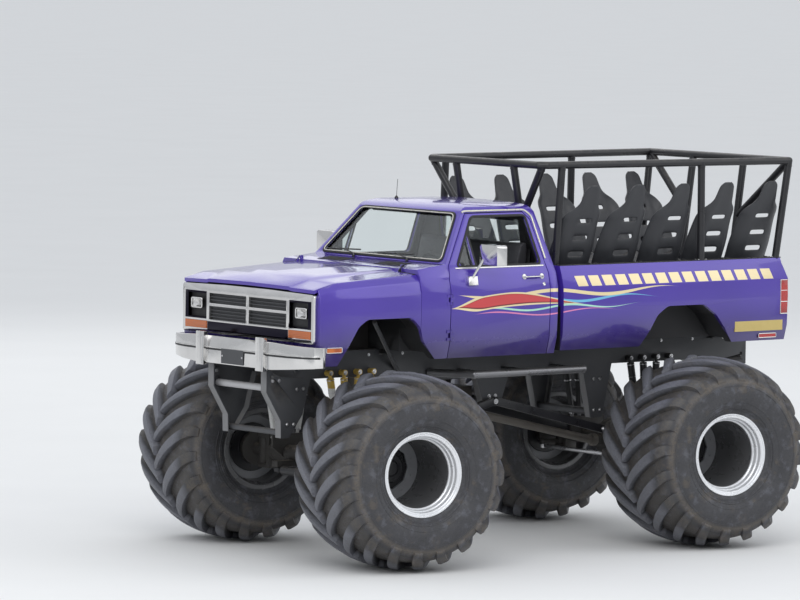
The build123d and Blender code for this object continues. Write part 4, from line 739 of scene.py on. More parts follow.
def wheel_matrix(axle_x, steer, side):
    """Wheel frame: local Z is the axle pointing outward, local X forward."""
    heading = math.radians(steer)
    forward = Vector((math.cos(heading), math.sin(heading), 0))
    outward = Vector((-math.sin(heading), math.cos(heading), 0)) * side
    up = outward.cross(forward)
    centre = Vector((axle_x, side * KINGPIN_Y, HUB_Z)) + outward * WHEEL_OFFSET
    columns = (forward, up, outward, centre)
    return Matrix([[column[row] for column in columns] for row in range(3)] + [[0, 0, 0, 1]])


def line_at(line, t):
    """Point at a share of a polyline's points."""
    place = t * (len(line) - 1)
    index = min(int(place), len(line) - 2)
    return tuple(a + (b - a) * (place - index) for a, b in zip(line[index], line[index + 1]))


def lug(angle, side):
    """One curved lug: a ridge from the tread's middle over the shoulder."""
    verts, faces = [], []
    for k in range(LUG_STEPS + 1):
        t = k / LUG_STEPS
        axial, top = line_at(LUG_LINE, t)
        base, edge = max(LUG_LOWEST, top - LUG_DEPTH), top - LUG_CHAMFER
        middle = angle - LUG_SWEEP * min(axial / LUG_BEND_END, 1.0) ** 0.85
        width = LUG_HALF_WIDTH + 0.009 * math.sin(math.pi * min(1, t * 1.1)) + 0.010 * t
        foot = width + LUG_FOOT
        for offset, radius in ((-foot, base), (-width, edge), (-width * 0.6, top),
                               (width * 0.6, top), (width, edge), (foot, base)):
            turn = middle + offset / TREAD_RADIUS
            sunk = LUG_SINK if radius == base else 0.0
            verts.append((radius * math.cos(turn), radius * math.sin(turn), side * (axial - sunk)))
    for k in range(LUG_STEPS):
        here, there = k * 6, (k + 1) * 6
        faces += [(here + row, here + row + 1, there + row + 1, there + row) for row in range(5)]
    faces.append(tuple(range(6)))
    faces.append(tuple(LUG_STEPS * 6 + i for i in reversed(range(6))))
    return verts, faces


def tyre_shape(rolling):
    """Casing with its two rows of lugs; a gap between leading corners faces the ground, as in the solids."""
    line = rounded(CASING, 0.03)
    parts = [revolve(line + [(-a, r) for a, r in reversed(line[:-1])], AROUND)]
    pitch = 2 * math.pi / LUGS
    for index in range(LUGS):
        for side in (1, -1):
            lead = math.pi / 2 + side * pitch / 4 - CROWN_HALF_ANGLE
            verts, faces = lug(lead + index * pitch, side)
            parts.append(([(v[0], rolling * v[1], v[2]) for v in verts], faces))
    return join(parts + [band(radius, side) for radius in SIDE_BANDS for side in (1, -1)])


def band(radius, side):
    """Raised ring moulded in the casing's side wall."""
    profile = []
    for shift, height in ((-0.009, -0.002), (-0.005, 0.003), (0.005, 0.003), (0.009, -0.002)):
        r = radius + shift
        pairs = zip(CASING, CASING[1:])
        low, high = next((a, b) for a, b in pairs if a[1] <= r <= b[1])
        axial = low[0] + (high[0] - low[0]) * (r - low[1]) / (high[1] - low[1])
        profile.append((side * min(axial + height, WIDEST), r))
    return revolve(profile if side > 0 else profile[::-1], AROUND)


def disc_shape():
    """Disc with a many-sided hole, its face and back joined round both edges."""
    count = 12 * DISC_SIDES
    half_side = math.pi / DISC_SIDES
    back = DISC_FACE - DISC_THICKNESS
    verts, faces = [], []
    for step in range(count):
        angle = 2 * math.pi * step / count
        hole = HOLE_CORNER * math.cos(half_side) / math.cos(angle % (2 * half_side) - half_side)
        for radius, axial in ((DISC_EDGE, DISC_FACE), (hole + 0.004, DISC_FACE), (hole, DISC_FACE - 0.004),
                              (hole, back), (DISC_EDGE, back)):
            verts.append((radius * math.cos(angle), radius * math.sin(angle), axial))
    for step in range(count):
        here, there = step * 5, ((step + 1) % count) * 5
        faces += [(here + k, there + k, there + k + 1, here + k + 1) for k in range(4)]
    return verts, faces


def nut_ring(count, circle, axial, size):
    """Ring of nuts facing along local Z."""
    turns = [2 * math.pi * (index + 0.5) / count for index in range(count)]
    return join([bolt((circle * math.cos(t), circle * math.sin(t), axial), UP, size) for t in turns])


def add_wheel(place, matrix, side):
    """Tyre, rim, disc and hub of one wheel."""
    body = f"wheel_{place}"
    M[f"tyre_{place}"] = tyre_rubber(place, matrix)
    # The rim's barrel is darker inside: partly dark paint, partly painted shade.
    M[f"rim_{place}"] = plain(f"rim_white_{place}", (0.70, 0.71, 0.73), (0.86, 0.87, 0.89), (0.22, 0.40), 5,
                              260, 0.05, 0.0, (rim_barrel_paint_and_shade, (0.150, 0.150, 0.155)), matrix, Metallic=0.35)
    tyre = piece(f"lugged_tyre_{place}", tyre_shape(side), f"tyre_{place}", body, matrix)
    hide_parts(f"tyre_{place}")
    barrel = join([revolve(rounded(RIM_LINE, 0.005), 128), revolve(rounded(RIM_BACK, 0.012), 96),
                   revolve(RIM_EDGE, 96)])
    rim = piece(f"dished_rim_{place}", barrel, f"rim_{place}", body, matrix, crease=60)
    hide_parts(f"rim_{place}")
    piece(f"wheel_disc_{place}", disc_shape(), "disc", body, matrix)
    piece(f"wheel_nuts_{place}", nut_ring(DISC_SIDES, NUT_CIRCLE, DISC_FACE, 0.010), "disc", body, matrix)
    hub = join([revolve(rounded(HUB_LINE, 0.005), 64), nut_ring(8, 0.094, -0.158, 0.009)])
    piece(f"hub_{place}", hub, "black", body, matrix)


def add_wheels():
    """The four wheels, steered as the truck is parked."""
    for axle, axle_x, steer in AXLES:
        for name, side in SIDES:
            add_wheel(f"{axle}_{name}", wheel_matrix(axle_x, steer, side), side)


# Cab

def side_y(z):
    """Outer half width of the cab at a height."""
    if z > BELT_Z:
        return BELT_Y - (z - BELT_Z) * (BELT_Y - ROOF_EDGE_Y) / (ROOF_EDGE_Z - BELT_Z)
    if z > 2.440:
        return BELT_Y + (BELT_Z - z) * (0.976 - BELT_Y) / (BELT_Z - 2.440)
    if z > 2.320:
        return 0.976 + (2.440 - z) * 0.25
    return 1.006


def on_side(x, z, proud=0.0):
    """Point on the cab's left side."""
    return Vector((x, side_y(z) + proud, z))


def side_normal(z):
    """Outward direction of the cab's left side at a height."""
    rise = side_y(z - 0.01) - side_y(z + 0.01)
    return Vector((0, 0.02, rise)).normalized()


def screen_loop(margin):
    """Windscreen's outline on its slope, rounded, drawn in from the CAD's corners by a margin."""
    height = (SCREEN_HEAD - SCREEN_FOOT).length
    foot, head = 0.850 - margin, 0.664 - margin
    corners = [(-foot, margin), (foot, margin), (head, height - margin), (-head, height - margin)]
    return rounded([SCREEN_FOOT + SCREEN_SLOPE * t + Vector((0, y, 0)) for y, t in corners], 0.055, 6, True)


def add_screen_trim():
    """Black gasket round the windscreen, with a pale bead in it."""
    gasket = sweep(screen_loop(0.010), strip(0.030, 0.009), SCREEN_NORMAL, True)
    piece("screen_gasket", gasket, "rubber")
    bead = [p + SCREEN_NORMAL * 0.007 for p in screen_loop(0.017)]
    piece("screen_bead", sweep(bead, ring(0.0055), SCREEN_NORMAL, True), "drip")


def add_rear_window_trim():
    """Gasket round the cab's rear window, on the slope of its wall."""
    slope = 0.107
    corners = box_corners((-0.560, 0.560), (2.560, 2.880))
    loop = rounded([Vector((-0.058 + (z - BELT_Z) * slope, y, z)) for y, z in corners], 0.03, 4, True)
    lean = Vector((-1, 0, slope)).normalized()
    piece("rear_window_gasket", sweep(loop, strip(0.036, 0.008), lean, True), "rubber")


def add_drip_rails():
    """Pale rails over the doors, from the windscreen's top corners down the rear pillars."""
    spots = [(0.796, 2.966), (0.772, 2.978), (0.100, 2.978), (0.035, 2.925), (0.012, 2.560)]
    path = rounded([on_side(x, z, 0.004) for x, z in spots], 0.03, 4)
    rail = sweep(path, ring(0.0085, 10, 0.8), side_normal(2.8))
    piece("drip_rails", both(rail), "drip")


WINDOW = ((1.012, 2.515), (0.708, 2.930), (0.104, 2.930), (0.080, 2.515))
BELT_LINE_Z = 2.503
HANDLE_Z = 2.413
HANDLE_LINE = ((0.305, 0.004), (0.290, 0.026), (0.150, 0.030), (0.128, 0.026), (0.108, 0.004))
HANDLE_CUP = [(0, 0.024), (0.004, 0.024), (0.007, 0.018), (0.007, 0)]
LOCK_Z = 2.345
LOCK_FACE = [(0, 0.016), (0.005, 0.016), (0.008, 0.011), (0.006, 0.004), (0.006, 0)]


def add_door_trim(name, side):
    """Weatherstrip, belt moulding, handle, lock and window post of one door."""
    body = f"door_{name}"
    turn = (lambda shape: shape) if side > 0 else flipped
    lean = side_normal(2.7)
    loop = rounded([on_side(x, z) for x, z in WINDOW], 0.042, 5, True)
    strips = sweep(loop, strip(0.022, 0.006), lean, True)
    piece(f"weatherstrip_{name}", turn(strips), "rubber", body)
    belt = [on_side(x, BELT_LINE_Z, 0.002) for x in (1.040, 0.060)]
    moulding = sweep(belt, ring(0.008, 10, 0.7), side_normal(BELT_LINE_Z))
    piece(f"belt_moulding_{name}", turn(moulding), "chrome", body)
    ends = [on_side(x, HANDLE_Z, proud) for x, proud in HANDLE_LINE]
    grip = sweep(rounded(ends, 0.018, 4), ring(0.013, 14, 0.6), UP)
    out = side_normal(HANDLE_Z)
    cups = [turned(HANDLE_CUP, 24, on_side(x, HANDLE_Z), out) for x in (HANDLE_LINE[0][0],
                                                                        HANDLE_LINE[-1][0])]
    lock = turned(LOCK_FACE, 24, on_side(0.095, LOCK_Z), side_normal(LOCK_Z))
    piece(f"door_handle_{name}", turn(join([grip, lock] + cups)), "chrome", body)
    post = [on_side(0.800, z, 0.002) for z in (2.520, 2.800)]
    piece(f"window_post_{name}", turn(sweep(post, strip(0.018, 0.006), lean)), "rubber", body)


def add_mirror_glass(name, side):
    """Mirror glass in the back of one mirror's head."""
    low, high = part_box("mirror_left")
    edge = 0.018
    loop = rectangle(low[0] - 0.001, (1.0325 + edge, 1.2675 - edge), (2.5375 + edge, high[2] - edge), 0.03, 5)
    pane = ([p + AHEAD * 0.003 for p in loop], [tuple(range(len(loop)))])
    piece(f"mirror_glass_{name}", pane if side > 0 else flipped(pane), "steel", f"door_{name}")


def add_wipers():
    """Two wipers parked along the foot of the windscreen."""
    blade = [(-0.003, -0.008), (0.003, -0.008), (0.004, 0.004), (-0.004, 0.004)]
    lifted = SCREEN_FOOT + SCREEN_NORMAL * 0.012
    parts = []
    for foot_y, tip_y in ((0.420, -0.050), (-0.330, -0.780)):
        pivot = Vector((1.160, foot_y, 2.535))
        blade_from = lifted + SCREEN_SLOPE * 0.050 + OUT * (foot_y + 0.02)
        blade_to = lifted + SCREEN_SLOPE * 0.032 + OUT * tip_y
        middle = blade_from.lerp(blade_to, 0.5) + SCREEN_NORMAL * 0.008
        parts.append(sweep([blade_from, blade_to], blade, SCREEN_NORMAL))
        arm = rounded([pivot + UP * 0.012, pivot + Vector((-0.030, -0.030, 0.030)), middle], 0.03, 4)
        parts.append(sweep(arm, ring(0.005, 8, 0.6), SCREEN_NORMAL))
        parts.append(turned([(-0.010, 0.013), (0.014, 0.013), (0.018, 0.009), (0.018, 0)], 20, pivot, UP))
    piece("wipers", join(parts), "black")


def add_cowl_vents():
    """Two banks of slots in the panel between hood and windscreen."""
    parts = []
    for y in (-0.40, 0.40):
        for index in range(9):
            x = 1.225 + 0.018 * index
            z = 2.540 - (x - 1.128) * 0.1094
            parts.append(sweep([Vector((x, y + end, z)) for end in (-0.17, 0.17)], strip(0.009, 0.003), UP))
    piece("cowl_vents", join(parts), "rubber")


def add_aerial():
    """Short aerial on the roof, in a rubber foot."""
    foot = Vector((0.620, -0.416, 3.030))
    base = turned([(-0.004, 0.018), (0.010, 0.017), (0.022, 0.009), (0.030, 0.0)], 20, foot, UP)
    rod = sweep([foot + UP * 0.02, foot + Vector((-0.012, 0, 0.170))], ring(0.0022, 8), AHEAD)
    piece("aerial", join([base, rod]), "black")


def add_steering_details():
    """Hub pad and grip ring on the steering wheel, and gauges on the dashboard."""
    centre, foot = Vector((0.800, 0.400, 2.430)), Vector((1.080, 0.400, 2.270))
    grip = revolve([(0.013 + 0.016 * math.sin(t), 0.180 + 0.018 * math.cos(t))
                    for t in [2 * math.pi * k / 12 for k in range(13)]], 64)
    pad = revolve([(0.026, 0.060), (0.038, 0.052), (0.044, 0.030), (0.044, 0)], 32)
    piece("steering_grip", moved(join([grip, pad]), aimed(centre, centre - foot)), "trim")
    dial = [(0, 0.048), (0.006, 0.048), (0.006, 0.040), (0.001, 0.038), (0.001, 0)]
    piece("gauges", join([turned(dial, 32, (1.0095, y, 2.345), -AHEAD) for y in (0.29, 0.40, 0.51)]), "steel")


# Bench seat

CUSHION = [(0.150, 2.075), (0.145, 2.190), (0.240, 2.205), (0.440, 2.215), (0.565, 2.232), (0.602, 2.195),
           (0.596, 2.080), (0.560, 2.068)]
BACKREST = [(0.110, 2.215), (0.225, 2.225), (0.205, 2.330), (0.160, 2.520), (0.112, 2.680), (0.075, 2.705),
            (0.038, 2.690), (0.030, 2.640), (0.050, 2.450)]
PLINTH = [(0.040, 2.100), (0.066, 1.852), (0.555, 1.852), (0.590, 2.060), (0.560, 2.066), (0.150, 2.072),
          (0.140, 2.190), (0.100, 2.210), (0.045, 2.440), (0.022, 2.600), (0.016, 2.630)]
BENCH_HALF = 0.714
SEAMS = (-0.476, -0.238, 0.0, 0.238, 0.476)
SWELL_VOXEL = 0.016
SWELL_FRAMES = 20
SWELL_CAP = 0.011


def swell(obj):
    """Remeshes a cushion and lets cloth under pressure fill it, each point moving at most the cap."""
    remesh = obj.modifiers.new("remesh", "REMESH")
    remesh.mode = "VOXEL"
    remesh.voxel_size = SWELL_VOXEL
    bake(obj)
    rest = [v.co.copy() for v in obj.data.vertices]
    cloth = obj.modifiers.new("cloth", "CLOTH")
    cloth.settings.use_pressure = True
    cloth.settings.uniform_pressure_force = 4
    cloth.settings.effector_weights.gravity = 0
    cloth.point_cache.frame_start = 1
    cloth.point_cache.frame_end = SWELL_FRAMES
    for number in range(1, SWELL_FRAMES + 1):
        bpy.context.scene.frame_set(number)
    bake(obj)
    bpy.context.scene.frame_set(1)
    for vertex, start in zip(obj.data.vertices, rest):
        move = vertex.co - start
        if move.length > SWELL_CAP:
            vertex.co = start + move.normalized() * SWELL_CAP


def bake(obj):
    """Replaces an object's mesh by what its modifiers make of it."""
    graph = bpy.context.evaluated_depsgraph_get()
    mesh = bpy.data.meshes.new_from_object(obj.evaluated_get(graph))
    obj.modifiers.clear()
    old = obj.data
    obj.data = mesh
    bpy.data.meshes.remove(old)


def sew(obj):
    """Draws in the sewn channels across a cushion and smooths what is left."""
    for vertex in obj.data.vertices:
        nearest = min(abs(vertex.co.y - seam) for seam in SEAMS)
        vertex.co -= vertex.normal * 0.007 * math.exp(-(nearest / 0.012) ** 2)
    subdivide(obj)
    shade_smooth(obj.data)


def add_cushion(name, outline):
    """One sewn cushion of the bench, filled by the cloth simulation."""
    shrink = 0.008
    centre_x, centre_z = (sum(axis) / len(outline) for axis in zip(*outline))
    smaller = []
    for x, z in outline:
        away = Vector((x - centre_x, z - centre_z))
        inner = away * (1 - shrink / away.length)
        smaller.append((centre_x + inner.x, centre_z + inner.y))
    obj = piece(name, prism(smaller, shrink - BENCH_HALF, BENCH_HALF - shrink), "cloth")
    swell(obj)
    sew(obj)
    return obj


def add_bench():
    """Bench: plinth and back shell with two sewn cushions."""
    cushion = add_cushion("bench_cushion", CUSHION)
    back = add_cushion("bench_backrest", BACKREST)
    shell = piece("bench_shell", prism(PLINTH, -BENCH_HALF, BENCH_HALF), "trim", bevel=0.010)
    for obj in (cushion, back, shell):
        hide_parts("bench_seat")


# Nose

def add_headlamps():
    """Square lamps: a domed lens in a bright bezel, with a hollow reflector and a lined recess behind it."""
    low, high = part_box("headlamps")
    x_back, x_front = low[0], high[0]
    y_low, y_high = 0.660, 0.824
    z_low, z_high = low[2], high[2]
    bezel_in, lens_in = 0.009, 0.012
    loop = rectangle(x_front - 0.004, (y_low + bezel_in, y_high - bezel_in),
                     (z_low + bezel_in, z_high - bezel_in), 0.014)

    def dome(u, v):
        bulge = 0.006 * math.sin(math.pi * u) * math.sin(math.pi * v)
        return (x_front - 0.007 + bulge, y_low + lens_in + u * (y_high - y_low - 2 * lens_in),
                z_low + lens_in + v * (z_high - z_low - 2 * lens_in))

    lens_shape = grid([j / 8 for j in range(9)], [i / 12 for i in range(13)], dome)
    centre = Vector((x_back + 0.002, (y_low + y_high) / 2, (z_low + z_high) / 2))
    outer = [Vector((x_front - 0.010, y, z)) for y, z in box_corners((y_low, y_high), (z_low, z_high))]
    bottom = [p.lerp(centre, 0.75) for p in outer]
    for place in bottom:
        place.x = x_back + 0.004
    walls = [(k, (k + 1) % 4, 4 + (k + 1) % 4, 4 + k) for k in range(4)]
    bowl = ([p.lerp(centre, 0.06) for p in outer] + bottom, walls + [(4, 5, 6, 7)])
    liner = [(x_back + 0.0015, y, z) for y, z in box_corners((0.590, 0.854), (2.034, 2.247))]
    edge = [(x_back + 0.010, y, z) for y, z in box_corners((0.594, 0.850), (2.038, 2.243))]
    piece("lamp_recesses", both((liner + edge, walls + [(0, 1, 2, 3)])), "trim")
    for name, shape, material in (("headlamp_lenses", lens_shape, "lens"),
                                  ("headlamp_bezels", sweep(loop, ring(0.008, 10), AHEAD, True), "chrome"),
                                  ("headlamp_bowls", bowl, "chrome")):
        obj = piece(name, both(shape), material)
        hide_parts("headlamps")


def marker(node, x_from, x_to, z, half, proud):
    """Small lamp body standing off a flank, and the loop of its frame."""
    ends = [flank(node, x, z, proud) for x in (x_from, x_to)]
    along = (ends[1] - ends[0]).normalized()
    out = along.cross(UP) * (1 if along.x < 0 else -1)
    out = out if out.y > 0 else -out
    corners = [ends[0] - UP * half, ends[1] - UP * half, ends[1] + UP * half, ends[0] + UP * half]
    back = [corner - out * (proud + 0.010) for corner in corners]
    faces = [(0, 1, 2, 3), (7, 6, 5, 4)] + [(k + 4, (k + 1) % 4 + 4, (k + 1) % 4, k) for k in range(4)]
    if (corners[1] - corners[0]).cross(UP).dot(out) < 0:
        faces = [tuple(reversed(face)) for face in faces]
    return (corners + back, faces), rounded(corners, 0.010, 4, True), out


def add_markers():
    """Small side lamps in bright frames: amber at the front, red at the rear."""
    for name, node, x_from, x_to, z, half, material in (
            ("front", "front_fenders", 2.300, 2.455, 1.850, 0.021, "amber"),
            ("rear", "bed", -2.640, -2.430, 1.800, 0.018, "red")):
        lamp, loop, out = marker(node, x_from, x_to, z, half, 0.008)
        piece(f"marker_frames_{name}", both(sweep(loop, ring(0.004, 8), out, True)), "chrome")
        piece(f"marker_lamps_{name}", both(lamp), material, bevel=0.003)


RIB_SPOTS = (-0.452, -0.398, 0.398, 0.452)


def add_bumper_details():
    """Rub strip with a bright step over it, ribs on the overriders, and a blank plate with its bolts."""
    face = [(2.7115, 0.0), (2.7115, 0.550), (2.6935, 0.750), (2.6495, 0.900), (2.5915, 0.990), (2.545, 1.012)]
    line = [(x, -y) for x, y in reversed(face[1:])] + face[1:]
    path = [p + AHEAD * 0.001 for p in rounded([Vector((x, y, 1.790)) for x, y in line], 0.06, 4)]
    for name, lift, half, material in (("strip", 0, 0.008, "trim"), ("step", 0.013, 0.004, "chrome")):
        section = [(0.000, -half), (0.004, -half * 0.75), (0.005, 0.0), (0.004, half * 0.75), (0.000, half)]
        piece(f"bumper_{name}", sweep([p + UP * lift for p in path], section, UP), material)
    ribs = [box((2.746, y - 0.004, 1.700), (2.7514, y + 0.004, 1.890)) for y in RIB_SPOTS]
    piece("overrider_ribs", join(ribs), "chrome", bevel=0.002)
    piece("blank_plate", box((2.712, -0.158, 1.677), (2.718, 0.158, 1.805)), "fin", bevel=0.003)
    bolts("plate_bolts", [((2.718, y, 1.741), AHEAD, 0.006) for y in (-0.140, 0.140)], "steel")


def add_grille_edges():
    """Thin bright moulding round each of the grille's four openings."""
    parts = []
    for y_range in ((0.016, 0.552), (-0.552, -0.016)):
        for z_range in ((2.020, 2.143), (2.161, 2.255)):
            parts.append(sweep(rectangle(2.5585, y_range, z_range, 0.006, 3), ring(0.0035, 8), AHEAD, True))
    piece("grille_edges", join(parts), "chrome")


# Bed, seats and cage

BENCH_TOP = 2.360
RAIL_Z = 2.490
CAGE_TOP = 3.362
MIDDLE_POST_X = -1.793
# Flanges under the cage's posts: X, Y and Z of the post's foot, half width
CAGE_FEET = ((-0.202, 0.790, BENCH_TOP, 0.055), (-0.205, 0.345, 1.835, 0.036),
             (MIDDLE_POST_X, 0.908, RAIL_Z, 0.032), (-2.669, 0.908, RAIL_Z, 0.032),
             (-2.660, 0.345, 1.835, 0.036))
# Posts and braces: X and Y of the head, the foot, and the weld's share of the run
CAGE_RUNS = (
    ((-0.250, 0.810), (-0.202, 0.790, 2.470), 0.045),
    ((-0.035, 0.400), (-0.205, 0.400, 2.490), 0.045),
    ((MIDDLE_POST_X, 0.896), (MIDDLE_POST_X, 0.908, 2.470), 0.045),
    ((-2.790, 0.950), (-2.669, 0.921, 2.470), 0.050),
    ((-2.790, 0.345), (-2.660, 0.345, 2.440), 0.045),
    ((-2.790, 0.950), (-2.719, 0.345, 2.830), 0.055),
    ((-0.065, 0.770), (-0.133, 0.400, 2.860), 0.085),
)
SEAT_FIRST_X, SEAT_PITCH, SEAT_COUNT = -0.490, 0.521, 5
BACK_FOOT, BACK_HEAD = Vector((0, 0.668, 2.410)), Vector((0, 0.975, 3.180))
BACK_EDGE = ((0.0, 0.238), (0.24, 0.241), (0.60, 0.208), (0.67, 0.186), (0.75, 0.118), (0.82, 0.098),
             (0.93, 0.084), (0.965, 0.072), (0.99, 0.050), (1.0, 0.030))
SEAT_COLUMNS = (-1.0, -0.96, -0.88, -0.74, -0.58, -0.44, -0.36, -0.18, 0.0, 0.18, 0.36, 0.44, 0.58, 0.74,
                0.88, 0.96, 1.0)
SEAT_SLOTS = ((0.180, 0.230), (0.370, 0.414), (0.572, 0.612))
SLOT_SHARE = 0.40
FEET_X = (-0.120, 0.120)
RAILS_Y = (0.450, 0.620)


def table_at(table, share):
    """Value of a (share, value) table at a share, with eased steps between its rows."""
    for (low, first), (high, second) in zip(table, table[1:]):
        if share <= high:
            t = (share - low) / (high - low)
            return first + (second - first) * (t + t * t * (3 - 2 * t)) / 2
    return table[-1][1]


def grid(rows, columns, point, holes=()):
    """Surface over rows and columns of shares, with cells left open."""
    verts = [point(u, v) for v in rows for u in columns]
    faces = []
    wide = len(columns)
    for j in range(len(rows) - 1):
        for i in range(wide - 1):
            u, v = (columns[i] + columns[i + 1]) / 2, (rows[j] + rows[j + 1]) / 2
            if not any(abs(u) < half and low < v < high for half, low, high in holes):
                a = j * wide + i
                faces.append((a, a + 1, a + wide + 1, a + wide))
    return verts, faces


def seat_back():
    """Moulded back: slots across it, edges turned towards the sitter."""
    rise = BACK_HEAD - BACK_FOOT
    along, length = rise.normalized(), rise.length
    inward = Vector((0, -along.z, along.y))

    def point(u, v):
        fade = 1 - min(1, max(0, (v - 0.55) / 0.25)) * 0.88
        bolster = 0.085 * max(0, (abs(u) - 0.50) / 0.50) ** 2 * fade
        hollow = 0.016 + 0.014 * math.sin(math.pi * min(1, v / 0.7))
        return (Vector((u * table_at(BACK_EDGE, v), 0, 0)) + BACK_FOOT + along * (v * length)
                + inward * (bolster + hollow * (1 - u * u) * 0.5))

    rows = [0.0, 0.06, 0.12] + [edge for low, high in SEAT_SLOTS for edge in (low, (low + high) / 2, high)]
    rows += [0.30, 0.50, 0.64, 0.68, 0.72, 0.76, 0.80, 0.86, 0.91, 0.94, 0.965, 0.985, 0.995, 1.0]
    return grid(sorted(rows), SEAT_COLUMNS, point, [(SLOT_SHARE, low, high) for low, high in SEAT_SLOTS])


def seat_pan():
    """Moulded pan with raised sides and a rolled front edge, which is bolted at its middle."""
    def point(u, v):
        y = 0.390 + v * 0.285
        side_rise = 0.062 * max(0, (abs(u) - 0.55) / 0.45) ** 1.5 * min(1, 0.35 + v)
        front_drop = 0.026 * max(0, 1 - v / 0.16) ** 2
        return Vector((u * 0.236, y, 2.422 + side_rise - front_drop + 0.010 * max(0, v - 0.8)))

    return grid([0, 0.05, 0.10, 0.2, 0.35, 0.5, 0.65, 0.8, 0.9, 1.0], SEAT_COLUMNS, point)


def add_seats():
    """Bucket seats in moulded shells, with their bolts, feet and rails."""
    nuts = join([bolt((x, y, 2.436), UP, 0.009) for x in FEET_X for y in (0.485, 0.555)])
    feet = join([box((x - 0.020, y - 0.022, BENCH_TOP), (x + 0.020, y + 0.022, 2.426))
                 for x in FEET_X for y in RAILS_Y])
    places = [Matrix.Translation((SEAT_FIRST_X - index * SEAT_PITCH, 0, 0)) for index in range(SEAT_COUNT)]
    shells, fixings, stands = ([moved(shape, place) for place in places]
                               for shape in (join([seat_back(), seat_pan()]), nuts, feet))
    seats = piece("bucket_seats", both(join(shells)), "seat")
    thick = seats.modifiers.new("shell", "SOLIDIFY")
    thick.thickness = 0.013
    thick.offset = 0
    subdivide(seats)
    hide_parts("bed_seats")
    piece("seat_bolts", both(join(fixings)), "steel")
    rails = [box((-2.690, y - 0.018, BENCH_TOP), (-0.300, y + 0.018, BENCH_TOP + 0.014)) for y in RAILS_Y]
    mounts = piece("seat_feet", both(join(stands + rails)), "black", bevel=0.003)
    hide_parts("bed_seats")


def add_rail_caps():
    """Dark capping along the bed's rails, with bolts, broken where the cage's middle posts stand."""
    low, high = RAIL_Z - 0.002, RAIL_Z + 0.006
    caps = [box((x_from, 0.880, low), (x_to, 0.938, high)) for x_from,
            x_to in ((-2.640, -1.860), (-1.730, -0.140))]
    piece("rail_caps", both(join(caps)), "trim", bevel=0.003)
    places = [-0.300 - 0.300 * index for index in range(8)]
    spots = [((x, 0.910, high), UP, 0.007) for x in places if abs(x - MIDDLE_POST_X) > 0.09]
    bolts("rail_bolts", mirrored_spots(spots), "black")


def add_cage_feet():
    """Bolted flange under each post of the cage."""
    plates, spots = [], []
    for x, y, z, across in CAGE_FEET:
        plates.append(box((x - 0.055, y - across, z), (x + 0.055, y + across, z + 0.008)))
        reach = across - 0.014
        for dx in (-0.043, 0.043):
            spots += [((x + dx, y + dy, z + 0.008), UP, 0.007) for dy in (-reach, reach)]
    piece("cage_feet", both(join(plates)), "black", bevel=0.002)
    bolts("cage_bolts", mirrored_spots(spots), "steel")


def collar(start, end, share, radius, width):
    """Weld bead or collar round a tube, at a share of its run."""
    start, end = Vector(start), Vector(end)
    half = width / 2
    profile = [(-half, radius - 0.003), (-half * 0.5, radius + 0.003), (half * 0.5, radius + 0.003),
               (half, radius - 0.003)]
    return moved(revolve(profile, 24), aimed(start.lerp(end, share), end - start))


def add_cage_welds():
    """Weld beads where the cage's posts and braces meet its rails."""
    parts = [collar((*head, CAGE_TOP), foot, share, 0.033, 0.014) for head, foot, share in CAGE_RUNS]
    piece("cage_welds", both(join(parts)), "black")


TAIL_LAMP_Y = 1.0065


def add_tail_lamps():
    """Bright frame and two dividing bars on each tail lamp, following its bend round the corner."""
    x_back, x_front, y_inner = -2.7565, -2.668, 0.895
    z_low, z_high = 1.993, 2.294
    frames = []
    for z in (z_low, 2.100, 2.200, z_high):
        y_outer = TAIL_LAMP_Y - 0.04 * max(0, z - 2.15)
        run = [Vector((x, y, z)) for x, y in ((x_back, y_inner), (x_back, y_outer), (x_front, y_outer))]
        frames.append(sweep(rounded(run, 0.010, 3), ring(0.0045, 8), UP))
    for x, y in ((x_back, y_inner), (x_front, TAIL_LAMP_Y)):
        upright = [Vector((x, y, z)) for z in (z_low, z_high)]
        frames.append(sweep(upright, ring(0.0045, 8), AHEAD + OUT))
    piece("tail_lamp_frames", both(join(frames)), "chrome")


def add_tailgate_details():
    """Pressed panel lines, a latch handle and hinge straps on the tailgate."""
    body = "tailgate"
    back = -2.7555
    frame_line = sweep(rectangle(back, (-0.68, 0.68), (1.930, 2.250), 0.05, 5), strip(0.018, 0.005), -AHEAD,
                       True)
    piece("gate_pressing", frame_line, "gate_paint", body)
    pull = rounded([Vector((back - depth, y, 2.200)) for depth, y in (
        (0, -0.090), (0.022, -0.075), (0.022, 0.075), (0, 0.090))], 0.015, 4)
    cup = rectangle(back, (-0.12, 0.12), (2.165, 2.235), 0.02)
    handle = [sweep(pull, ring(0.010, 12, 0.7), UP), sweep(cup, strip(0.010, 0.004), -AHEAD, True)]
    piece("gate_handle", join(handle), "chrome", body)
    straps = [box((back - 0.004, y - 0.022, 1.850), (back + 0.002, y + 0.022, 1.990)) for y in (-0.60, 0.60)]
    piece("gate_straps", join(straps), "black", body, bevel=0.002)
    spots = [((back - 0.004, y, z), -AHEAD, 0.007) for y in (-0.60, 0.60) for z in (1.890, 1.950)]
    bolts("gate_bolts", spots, "steel", body)


def add_side_chips():
    """Plain gold chip low on each side of the bed, near its rear end."""
    chip, _, _ = marker("bed", -2.700, -2.130, 1.898, 0.052, 0.0015)
    piece("side_chips", both(chip), "chip")


# Chassis

FRAME_Y = 0.416
RAIL_LEGS = ((2.560, 1.560), (2.400, 1.180), (2.300, 1.480), (-1.020, 1.430), (-1.025, 1.150), (0.180, 1.330))
MOUNT_SPOTS = (2.150, 1.420, 0.700, -0.400, -1.300, -2.350)
MOUNT_LINE = [(-0.034, 0.0), (-0.034, 0.030), (-0.026, 0.036), (-0.018, 0.030), (-0.010, 0.036),
              (-0.001, 0.030)]


